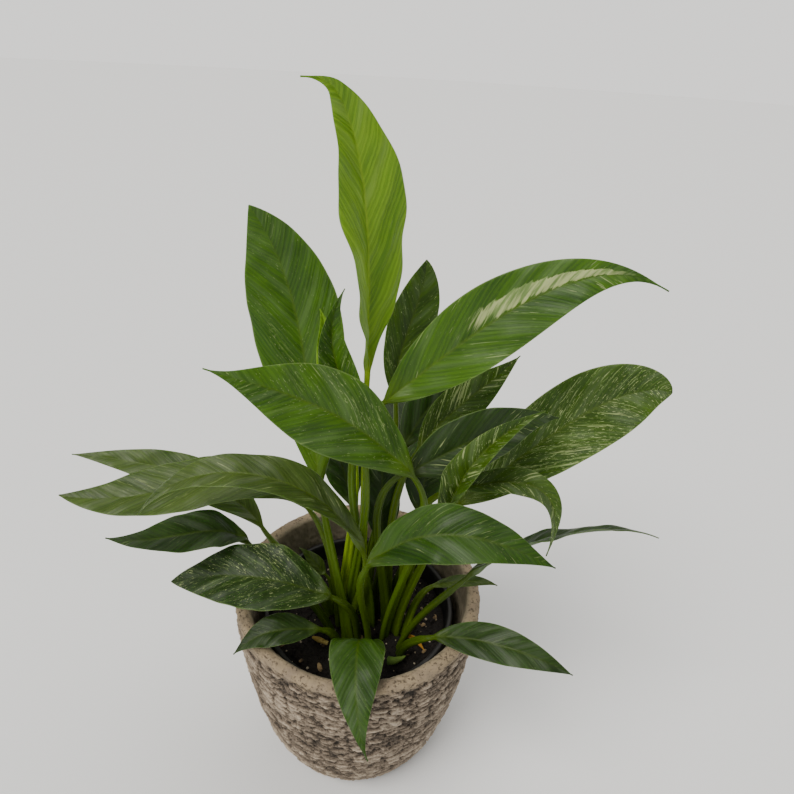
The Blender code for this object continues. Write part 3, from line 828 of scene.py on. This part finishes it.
def nursery_section():
    """Floor, inner wall, rounded lip turned out over a short skirt, outer wall."""
    top = NURSERY_HIGH.z
    under = NURSERY_LOW.z
    outer = NURSERY_HIGH.x
    rim = outer - NURSERY_LIP
    skirt = top - SKIRT_DROP
    base = NURSERY_BASE
    soft = NURSERY_WALL / 2
    return [
        (0, under + NURSERY_WALL),
        (base - NURSERY_WALL - 0.002, under + NURSERY_WALL),
        (base - NURSERY_WALL, under + NURSERY_WALL + 0.002),
        (rim - NURSERY_WALL, skirt),
        (rim - NURSERY_WALL, top - soft),
        (rim - soft, top),
        (outer - soft, top),
        (outer, top - soft),
        (outer, skirt),
        (outer - NURSERY_WALL, skirt),
        (rim, skirt + 0.001),
        (base, under + 0.002),
        (base - 0.002, under),
        (0, under),
    ]


def mix_section():
    """The potting mix up to its surface, a hair inside the nursery pot's wall."""
    gap = 0.0004
    under = MIX_LOW.z
    base = NURSERY_BASE - NURSERY_WALL - gap
    rim = NURSERY_HIGH.x - NURSERY_LIP - NURSERY_WALL - gap
    skirt = NURSERY_HIGH.z - SKIRT_DROP
    edge = SOIL_LEVEL - SOIL_SAG
    fill = base + (rim - base) * (edge - under - 0.002) / (skirt - under - 0.002)
    surface = [(0, SOIL_LEVEL), (0.046, SOIL_LEVEL), (fill - 0.001, edge + 0.0006), (fill, edge)]
    return densified(surface, 0.0012) + [(base, under + 0.002), (base - 0.002, under), (0, under)]


def soil_height(x, y):
    """How far the loose surface of the mix stands over or under its mean level."""
    place = Vector((x, y, 0.37))
    clods = noise.noise(place * 85) * 0.0021 + noise.noise(place * 240) * 0.0013
    return clods + noise.noise(place * 620) * 0.0006 - 0.0006


def mix_mesh(name):
    mesh = turned(name, mix_section(), MIX_SIDES)
    for vertex in mesh.vertices:
        if vertex.co.z > SOIL_LEVEL - SOIL_SAG - 0.0005:
            vertex.co.z += soil_height(vertex.co.x, vertex.co.y)
    mesh.update()
    return mesh


def scatter_tree():
    """Strews broken grains over the ground object, half sunk and turned at random."""
    g, given = new_tree(
        "Strewn grains", Ground="Object", Density="Float", Spacing="Float", Reach="Float", Lowest="Float",
        Smallest="Float", Largest="Float", Flatness="Vector", Tilt="Float", Breakage="Float", Detail="Int",
        Seed="Int", Material="Material",
    )
    ground = g.get("GeometryNodeObjectInfo", {"Object": given["Ground"]}, "Geometry")
    x, y, z = g.split(g.get("GeometryNodeInputPosition"))
    inside = g.math("SQRT", x * x + y * y) < given["Reach"]
    bare = inside * (z > given["Lowest"])
    tilt, seed = given["Tilt"], given["Seed"]
    spread = {
        "Mesh": ground, "Selection": bare, "Distance Min": given["Spacing"], "Density Max": given["Density"],
        "Seed": seed,
    }
    points = g.get("GeometryNodeDistributePointsOnFaces", spread, "Points", distribute_method="POISSON")
    ball = g.get("GeometryNodeMeshIcoSphere", {"Radius": 1.0, "Subdivisions": given["Detail"]})
    tumble = g.get(
        "FunctionNodeRandomValue",
        {0: g.vector(tilt * -1.0, tilt * -1.0, -pi), 1: g.vector(tilt, tilt, pi), "Seed": seed},
        data_type="FLOAT_VECTOR",
    )
    sizes = {2: given["Smallest"], 3: given["Largest"], "Seed": seed + 1}
    size = g.get("FunctionNodeRandomValue", sizes, 1, data_type="FLOAT")
    scale = g.scaled(given["Flatness"], size)
    grains = {"Points": points, "Instance": ball, "Rotation": tumble, "Scale": scale}
    strewn = g.get("GeometryNodeInstanceOnPoints", grains)
    real = g.get("GeometryNodeRealizeInstances", {"Geometry": strewn})
    place = g.get("GeometryNodeInputPosition")
    normal = g.get("GeometryNodeInputNormal")
    bite = (g.noise(place, 620, 2.0, 0.6) - 0.5) * given["Breakage"]
    broken = g.get("GeometryNodeSetPosition", {"Geometry": real, "Offset": g.scaled(normal, bite)})
    return finish_tree(g, broken, given["Material"])


# Leaves


def carried_frames(middle, start, normal):
    """Tangents, sides and normals along a line. The normal is carried from one of its points."""
    tangents = np.gradient(middle, axis=0)
    tangents /= np.linalg.norm(tangents, axis=1)[:, None]
    normals = np.zeros_like(middle)
    normals[start] = unit(normal - normal.dot(tangents[start]) * tangents[start])
    onwards = [(i, i - 1) for i in range(start + 1, len(middle))]
    backwards = [(i, i + 1) for i in range(start - 1, -1, -1)]
    for here, before in onwards + backwards:
        carried = normals[before]
        normals[here] = unit(carried - carried.dot(tangents[here]) * tangents[here])
    return tangents, np.cross(tangents, normals), normals


def blade_half_width(leaf, share):
    """Half of the blade's width at shares of its length, never thinner than the stalk's end."""
    rising = np.sin(pi / 2 * np.clip(share / leaf.belly, 0, 1)) ** leaf.base
    falling = np.clip(np.cos(pi / 2 * (share - leaf.belly) / (1 - leaf.belly)), 0, 1) ** leaf.point
    form = np.where(share < leaf.belly, rising, falling)
    blade = np.maximum(leaf.width / 2 * form, TIP_HALF_WIDTH)
    return np.hypot(blade, leaf.stalk * (1 - share))


def across_places():
    """Places from margin to margin and back under the blade, denser at the midrib."""
    angles = 2 * pi * np.arange(RING_POINTS) / RING_POINTS
    spread = np.cos(angles)
    return np.sign(spread) * np.abs(spread) ** 1.45, np.sin(angles) >= -1e-9


def spread_rings(middle, sides, wide, normals, height):
    """A ring of points round each point of a line, from their offsets sideways and upwards."""
    spread = middle[:, None, :] + sides[:, None, :] * wide[:, :, None]
    return spread + normals[:, None, :] * height[:, :, None]


def blade_rings(leaf, middle, sides, normals, number):
    """Rings round the blade, with its midrib, side veins, waves and thin edges."""
    share = np.linspace(0, 1, BLADE_STEPS)[:, None]
    place, upper = across_places()
    half = blade_half_width(leaf, share)
    length = np.linalg.norm(np.diff(middle, axis=0), axis=1).sum()
    wide = np.abs(place) * half
    fold = np.radians(leaf.fold) * (1 + 0.6 * (1 - share) ** 2)
    phase = np.where(place > 0, 1.3, 0.0)
    swing = leaf.wave * np.sin(6 * pi * share + phase) - leaf.camber
    frill = 0.045 * leaf.ruffle * np.sin(19 * share + 2.4 * phase + number * 1.9)
    frill = frill + 0.018 * leaf.ruffle * np.sin(43 * share + 3.1 * phase + number)
    ends = smooth_step(0, 0.15, share) * smooth_step(1, 0.8, share)
    height = wide * np.sin(fold) + swing * half * place**2 + frill * ends * half * place**4
    vein = share * length - wide * VEIN_LEAN - wide**2 * VEIN_CURVE
    vein = vein + 0.0011 * np.sin(vein * 410 + number) + 0.0007 * np.sin(vein * 900 + 2 * phase)
    quilt = -0.00008 * np.cos(2 * pi * vein / VEIN_SPACING) * ends * np.clip(half / 0.012, 0, 1)
    swell = 0.0008 * np.sin(2 * pi * vein / 0.024 + 4 * phase + number)
    swell = swell + 0.0005 * np.sin(260 * share * length)
    height = height + (quilt + swell * ends * np.clip(half / 0.014, 0, 1)) * np.sin(pi * np.abs(place)) ** 0.7

    opening = smooth_step(0, 0.12, share)
    round_half = half * np.sqrt(np.clip(1 - place**2, 0, 1))
    flat = BLADE_THICKNESS / 2 * np.clip(1 - place**2, 0, 1) ** 0.25
    rib_high = leaf.stalk * (1 - share) ** 1.4 * 0.9
    rib = np.exp(-((wide / (0.0007 + leaf.stalk * 0.75 * (1 - share))) ** 2))
    top = round_half * (1 - opening) + (flat - rib_high * 0.28 * rib) * opening
    bottom = round_half * (1 - opening) + (flat + rib_high * rib) * opening
    height = height + np.where(upper, top, -bottom)

    rings = spread_rings(middle, sides, place * half * np.cos(fold), normals, height)
    return rings, share * length + 0 * wide, place * half, length


def stalk_line(foot, collar, tangent):
    """The stalk's middle on one smooth curve from the foot to the collar."""
    reach = np.linalg.norm(collar - foot)
    lean = 0.5 * (collar - foot)
    rise = unit(np.array([lean[0], lean[1], collar[2] - foot[2] + 0.45 * reach]))
    handles = [foot, foot + 0.38 * reach * rise, collar - 0.30 * reach * tangent, collar]
    return bezier(handles, STALK_STEPS + 1)


def stalk_rings(leaf, middle, normal):
    """Rings up the stalk: a wide grooved sheath at the foot, round under the blade."""
    _, sides, normals = carried_frames(middle, STALK_STEPS, normal)
    share = np.linspace(0, 1, STALK_STEPS + 1)[:, None]
    place, upper = across_places()
    thick = leaf.stalk * (1 + (STALK_FULLNESS - 1 + STALK_TAPER) * smooth_step(0, 0.3, 1 - share))
    sheath = np.clip(1 - share * 1.6, 0, 1) ** 1.5
    lift = np.sqrt(np.clip(1 - place**2, 0, 1)) * thick * (1 - 0.15 * sheath)
    groove = 0.45 * smooth_step(1.0, 0.7, share) * np.exp(-((place / 0.45) ** 2)) * thick
    height = np.where(upper, lift - groove, -lift * (1 + 0.25 * sheath))
    wide = place * thick * (1 + 0.75 * sheath)
    rings = spread_rings(middle, sides, wide, normals, height)
    return rings[:-1], wide[:-1]


def leaf_mesh(leaf, number):
    """A loft from the round stalk to the folded blade, with vein coordinates on it."""
    foot = np.array([leaf.foot[0], leaf.foot[1], -ROOTED])
    middle = bezier(handles_through(leaf.midrib), BLADE_STEPS)
    bent = np.clip((np.linspace(0, 1, BLADE_STEPS)[:, None] - 0.90) / 0.10, 0, 1) ** 2
    middle = middle + bent * leaf.hook
    azimuth, elevation = radians(leaf.face[0]), radians(leaf.face[1])
    up = np.array([cos(elevation) * cos(azimuth), cos(elevation) * sin(azimuth), sin(elevation)])
    tangents, sides, normals = carried_frames(middle, BLADE_STEPS // 2, up)
    turn = radians(leaf.twist) * (np.linspace(0, 1, BLADE_STEPS) - 0.5)[:, None]
    turned_sides = sides * np.cos(turn) - normals * np.sin(turn)
    turned_normals = normals * np.cos(turn) + sides * np.sin(turn)
    blade, along, wide, length = blade_rings(leaf, middle, turned_sides, turned_normals, number)
    line = stalk_line(foot, middle[0], tangents[0])
    stalk, stalk_wide = stalk_rings(leaf, line, turned_normals[0])

    rings = np.concatenate([stalk, blade]) + np.array([0, 0, SOIL_LEVEL])
    run = np.linalg.norm(line - line[-1], axis=1)[:-1, None]
    along = np.concatenate([-run + 0 * stalk_wide, along])
    wide = np.concatenate([stalk_wide, wide])
    place, upper = across_places()
    under = np.where(upper, 0.0, 1.0) * (np.abs(place) < 0.97)
    shares = along / length

    mesh = bpy.data.meshes.new(leaf.name)
    rows, columns = along.shape
    faces = []
    for row in range(rows - 1):
        for column in range(columns):
            after = (column + 1) % columns
            low, high = row * columns, (row + 1) * columns
            faces.append((low + column, low + after, high + after, high + column))
    faces.append(tuple(range(columns))[::-1])
    faces.append(tuple(range((rows - 1) * columns, rows * columns)))
    mesh.from_pydata(rings.reshape(-1, 3).tolist(), [], faces)
    blade_data = mesh.attributes.new("blade", "FLOAT_VECTOR", "POINT")
    values = np.stack(np.broadcast_arrays(shares, place, under), axis=-1)
    blade_data.data.foreach_set("vector", values.reshape(-1).astype(np.float32))
    at_corner = np.zeros(len(mesh.loops), np.int32)
    mesh.loops.foreach_get("vertex_index", at_corner)
    veins = np.stack([along.reshape(-1)[at_corner], wide.reshape(-1)[at_corner]], axis=-1)
    mesh.uv_layers.new(name="veins").data.foreach_set("uv", veins.reshape(-1).astype(np.float32))
    outward(mesh)
    mesh.shade_smooth()
    return mesh


def tube_mesh(name, points, radius):
    """A round rod through points of (x, y, z, thickness), smoothed and closed at both ends."""
    marks = np.array(points, float)
    steps = np.linspace(0, len(marks) - 1, ROD_RINGS)
    smooth = [np.interp(steps, np.arange(len(marks)), marks[:, axis]) for axis in range(4)]
    kernel = np.array([1, 2, 3, 2, 1]) / 9
    smooth = [np.convolve(np.pad(values, 2, mode="edge"), kernel, mode="valid") for values in smooth]
    middle = np.column_stack(smooth[:3])
    _, sides, normals = carried_frames(middle, 0, np.array([0.0, 0.0, 1.0]))
    angles = 2 * pi * np.arange(ROD_SIDES) / ROD_SIDES
    rings = []
    for centre, side, normal, thickness in zip(middle, sides, normals, smooth[3]):
        for_ring = np.outer(np.cos(angles), side) + np.outer(np.sin(angles), normal)
        rings.append(centre + radius * thickness * for_ring + np.array([0, 0, SOIL_LEVEL]))
    return skin(name, rings)


# Settings that a user would change


def length(name, description, default, **limits):
    return FloatProperty(name=name, description=description, default=default, unit="LENGTH", **limits)


def colour(name, description, default):
    return FloatVectorProperty(name=name, description=description, default=default, subtype="COLOR")


def angle_of(name, description, degrees):
    return FloatProperty(name=name, description=description, default=radians(degrees), subtype="ANGLE")


def strength(name, description, default):
    return FloatProperty(name=name, description=description, default=default)


class StonePotSettings(PropertyGroup):
    layer_height: length("Layer Height", "Height of one stone layer", 0.0024, min=0.001)
    flake_length: length("Flake Length", "Length of one broken piece of a layer", 0.0105)
    depth: length("Depth", "How deep the crevices are between layers", 0.0036)
    rim_band: length("Rim Band", "Height of the smoother band under the rim", 0.0095)
    # crest is a painted highlight on the layers' edges.
    crest: colour("Crest", "Colour of the layers' lit edges", (0.53, 0.44, 0.335))
    ledge: colour("Ledge", "Main colour of the stone", (0.250, 0.198, 0.146))
    # shade and crevice are painted shade, between the layers and in their gaps; shade also darkens the rim's
    # pits.
    shade: colour("Shade", "Colour low between the layers", (0.088, 0.068, 0.050))
    crevice: colour("Crevice", "Colour of the deepest gaps", (0.020, 0.016, 0.012))
    rim: colour("Rim", "Colour of the washed rim", (0.350, 0.275, 0.178))
    inside: colour("Inside", "Colour of the inner wall", (0.27, 0.235, 0.165))


class PottingMixSettings(PropertyGroup):
    peat: colour("Peat", "Main colour of the mix", (0.012, 0.008, 0.006))
    seed: IntProperty(name="Seed", description="Changes where the grains lie", default=5, min=0)
    perlite_spacing: length("Perlite Spacing", "Least distance between perlite grains", 0.0042)
    bark_spacing: length("Bark Spacing", "Least distance between bark chips", 0.0110)
    crumb_spacing: length("Crumb Spacing", "Least distance between soil crumbs", 0.0021)


class StageSettings(PropertyGroup):
    lens: FloatProperty(name="Lens", description="Focal length in millimetres", default=27.2, min=5)
    place: FloatVectorProperty(
        name="Camera", description="Where the camera stands", subtype="TRANSLATION",
        default=(0.0189, -0.3102, 0.4852),
    )
    pitch: angle_of("Pitch", "How far it looks down", 29.96)
    roll: angle_of("Roll", "How far it leans", 3.517)
    floor_color: colour("Floor", "Colour of the plain floor", (0.86, 0.88, 0.90))
    key_power: strength("Key Light", "Strength of the main soft light", 2.7)
    sky: strength("Sky", "Strength of the even light all round", 0.42)
    backdrop: strength("Backdrop", "Brightness of the plain background", 1.235)


# Operators


class PEACELILY_OT_stone_pot(Operator):
    """Build the layered stone pot from its section"""

    bl_idname = "peacelily.stone_pot"
    bl_label = "Stone Pot"

    def execute(self, context):
        look = context.scene.peace_lily_pot
        guide = section_curve(pot_section())
        values = {
            "Section": guide,
            "Sides": POT_SIDES,
            "Rows": POT_ROWS,
            "Layer_Height": look.layer_height,
            "Flake_Length": look.flake_length,
            "Depth": look.depth,
            "Foot": FOOT_BAND,
            "Rim_Height": POT_HEIGHT,
            "Rim_Band": look.rim_band,
            "Material": stone_finish(look),
        }
        pot = grown("layered_stone_pot", layered_wall_tree(), values)
        bpy.data.objects.remove(guide)
        outward(pot.data)
        dress(pot, "stone_pot", "stone_pot")
        return {"FINISHED"}


class PEACELILY_OT_nursery_pot(Operator):
    """Build the thin plastic nursery pot that stands inside"""

    bl_idname = "peacelily.nursery_pot"
    bl_label = "Nursery Pot"

    def execute(self, context):
        mesh = turned("moulded_nursery_pot", densified(nursery_section(), 0.006), NURSERY_SIDES)
        for vertex in mesh.vertices:
            angle = np.arctan2(vertex.co.y, vertex.co.x)
            up = (vertex.co.z - NURSERY_LOW.z) / (NURSERY_HIGH.z - NURSERY_LOW.z)
            bulge = 1 + 0.006 * up**3 * sin(3 * angle + 0.7)
            vertex.co.x *= bulge
            vertex.co.y *= bulge
        pot = mesh_piece("moulded_nursery_pot", mesh, plastic_finish())
        dress(pot, "nursery_plastic", "nursery_pot")
        return {"FINISHED"}


class PEACELILY_OT_potting_mix(Operator):
    """Fill the nursery pot with peat and strew perlite, bark and crumbs over it"""

    bl_idname = "peacelily.potting_mix"
    bl_label = "Potting Mix"

    def execute(self, context):
        look = context.scene.peace_lily_mix
        peat = peat_finish(look)
        ground = mesh_piece("loose_potting_mix", mix_mesh("loose_potting_mix"), peat)
        bpy.context.view_layer.update()
        tree = scatter_tree()
        reach = NURSERY_HIGH.x - NURSERY_LIP - NURSERY_WALL - 0.0040
        shared = {"Ground": ground, "Reach": reach, "Lowest": SOIL_LEVEL - SOIL_SAG - 0.0020}
        perlite = grown("perlite_grains", tree, {
            **shared, "Density": 16000.0, "Spacing": look.perlite_spacing, "Seed": look.seed,
            "Smallest": 0.0004, "Largest": 0.0012, "Flatness": (1.0, 0.9, 0.75), "Detail": 2,
            "Tilt": pi, "Breakage": 0.0011,
            "Material": grain_finish("perlite", (0.24, 0.19, 0.11), (0.62, 0.54, 0.40), 300),
        })
        bark = grown("bark_chips", tree, {
            **shared, "Density": 3000.0, "Spacing": look.bark_spacing, "Seed": look.seed + 3,
            "Smallest": 0.0010, "Largest": 0.0028, "Flatness": (1.5, 0.75, 0.30), "Detail": 2,
            "Tilt": 0.45, "Breakage": 0.0016,
            "Material": grain_finish("bark", (0.05, 0.028, 0.014), (0.34, 0.24, 0.12), 110),
        })
        crumbs = grown("soil_crumbs", tree, {
            **shared, "Density": 90000.0, "Spacing": look.crumb_spacing, "Seed": look.seed + 7,
            "Smallest": 0.0006, "Largest": 0.0019, "Flatness": (1.0, 0.9, 0.7), "Detail": 1,
            "Tilt": pi, "Breakage": 0.0014, "Material": peat,
        })
        dress(ground, "potting_mix", "potting_mix")
        for piece in (perlite, bark, crumbs):
            dress(piece, "potting_mix")
        return {"FINISHED"}


class PEACELILY_OT_leaves(Operator):
    """Build every leaf, each a stalk and blade in one skin with its own marbling"""

    bl_idname = "peacelily.leaves"
    bl_label = "Leaves"

    def execute(self, context):
        for number, leaf in enumerate(LEAVES):
            mesh = leaf_mesh(leaf, number)
            piece = mesh_piece(leaf.name + "_blade", mesh, leaf_finish(leaf, number))
            dress(piece, leaf.tone.slot, leaf.name)
        return {"FINISHED"}


class PEACELILY_OT_litter(Operator):
    """Lay the withered leaf, the dead stalk and the young bud on the mix"""

    bl_idname = "peacelily.litter"
    bl_label = "Litter"

    def execute(self, context):
        withered = Leaf(
            "withered_scrap",
            foot=(33, -21),
            midrib=[(36, -22, 4), (40, -24.5, 6.6), (45, -28, 5.6), (49, -32, 4)],
            width=5.2,
            face=(-60, 70),
            tone=DRY,
            fold=42,
            stalk=0.8,
            flecks=0,
            streaks=0,
        )
        shape = leaf_mesh(withered, SCRAP_NUMBER)
        scrap = mesh_piece("withered_scrap", shape, leaf_finish(withered, SCRAP_NUMBER))
        dress(scrap, DRY.slot, "withered_leaf")
        straw = grain_finish("straw", STRAW.dark, STRAW.light, 180)
        stub = tube_mesh(
            "dead_stalk_stub",
            [(-0.031, -0.0255, 0.0026, 0.5), (-0.026, -0.0275, 0.0030, 1.0), (-0.019, -0.030, 0.0028, 0.7)],
            0.0020,
        )
        dress(mesh_piece("dead_stalk_stub", stub, straw), STRAW.slot, "dead_stalk")
        bud_green = grain_finish("bud_green", (0.055, 0.120, 0.015), (0.160, 0.270, 0.040), 90)
        bud = tube_mesh(
            "pointed_bud",
            [
                (0.024, -0.041, 0.0030, 1.2), (0.028, -0.042, 0.0042, 1.0),
                (0.033, -0.041, 0.0063, 0.6), (0.036, -0.040, 0.0080, 0.1),
            ],
            0.0026,
        )
        dress(mesh_piece("pointed_bud", bud, bud_green), FRESH.slot, "young_bud")
        return {"FINISHED"}


class PEACELILY_OT_stage(Operator):
    """Set the plain floor, the soft lights and the camera"""

    bl_idname = "peacelily.stage"
    bl_label = "Stage"

    def execute(self, context):
        look = context.scene.peace_lily_stage
        floor_mesh = bpy.data.meshes.new("plain_floor")
        shape = bmesh.new()
        bmesh.ops.create_circle(shape, cap_ends=True, segments=96, radius=FLOOR_RADIUS)
        shape.to_mesh(floor_mesh)
        shape.free()
        make = Finish("plain_floor")
        make.set(Base_Color=(*look.floor_color, 1.0), Roughness=0.9)
        floor = mesh_piece("plain_floor", floor_mesh, make.material)

        self.add_light("key_light", (-0.55, -0.55, 1.0), 35, look.key_power)
        self.add_light("top_light", (0.25, 0.45, 1.0), 60, look.key_power * 0.40)

        world = bpy.data.worlds.new("even_sky")
        world.use_nodes = True
        sky = Graph(world.node_tree)
        seen = sky.get("ShaderNodeLightPath", None, "Is Camera Ray")
        light = world.node_tree.nodes["Background"]
        sky.feed(light.inputs["Color"], (1.0, 0.985, 0.955, 1.0))
        sky.feed(light.inputs["Strength"], seen * (look.backdrop - look.sky) + look.sky)
        context.scene.world = world

        data = bpy.data.cameras.new("front_camera")
        data.sensor_width = SENSOR_WIDTH
        data.lens = look.lens
        camera = link(bpy.data.objects.new("front_camera", data))
        turn = Matrix.Rotation(pi / 2 - look.pitch, 4, "X") @ Matrix.Rotation(look.roll, 4, "Z")
        camera.matrix_world = Matrix.Translation(look.place) @ turn
        context.scene.camera = camera
        return {"FINISHED"}

    @staticmethod
    def add_light(name, place, spread, power):
        data = bpy.data.lights.new(name, "SUN")
        data.angle = radians(spread)
        data.energy = power
        data.color = (1.0, 0.955, 0.885)
        light = link(bpy.data.objects.new(name, data))
        light.location = place
        light.rotation_euler = (-Vector(place)).to_track_quat("-Z", "Y").to_euler()
        return light


class PEACELILY_PT_panel(Panel):
    """Builds the plant piece by piece"""

    bl_label = "Peace Lily"
    bl_idname = "PEACELILY_PT_panel"
    bl_space_type = "VIEW_3D"
    bl_region_type = "UI"
    bl_category = "Peace Lily"

    def draw(self, context):
        for operator in OPERATORS:
            self.layout.operator(operator.bl_idname)
        for settings in (
            context.scene.peace_lily_pot,
            context.scene.peace_lily_mix,
            context.scene.peace_lily_stage,
        ):
            box = self.layout.box()
            for name in settings.bl_rna.properties.keys():
                if name not in ("rna_type", "name"):
                    box.prop(settings, name)


SETTINGS = {
    "peace_lily_pot": StonePotSettings,
    "peace_lily_mix": PottingMixSettings,
    "peace_lily_stage": StageSettings,
}
OPERATORS = (
    PEACELILY_OT_stone_pot,
    PEACELILY_OT_nursery_pot,
    PEACELILY_OT_potting_mix,
    PEACELILY_OT_leaves,
    PEACELILY_OT_litter,
    PEACELILY_OT_stage,
)


def register():
    for settings in SETTINGS.values():
        bpy.utils.register_class(settings)
    for name, settings in SETTINGS.items():
        setattr(bpy.types.Scene, name, PointerProperty(type=settings))
    for operator in OPERATORS:
        bpy.utils.register_class(operator)
    bpy.utils.register_class(PEACELILY_PT_panel)


def unregister():
    bpy.utils.unregister_class(PEACELILY_PT_panel)
    for operator in reversed(OPERATORS):
        bpy.utils.unregister_class(operator)
    for name, settings in SETTINGS.items():
        delattr(bpy.types.Scene, name)
        bpy.utils.unregister_class(settings)


def main():
    register()
    bpy.ops.peacelily.stone_pot()
    bpy.ops.peacelily.nursery_pot()
    bpy.ops.peacelily.potting_mix()
    bpy.ops.peacelily.leaves()
    bpy.ops.peacelily.litter()
    bpy.ops.peacelily.stage()


if __name__ == "__main__":
    main()
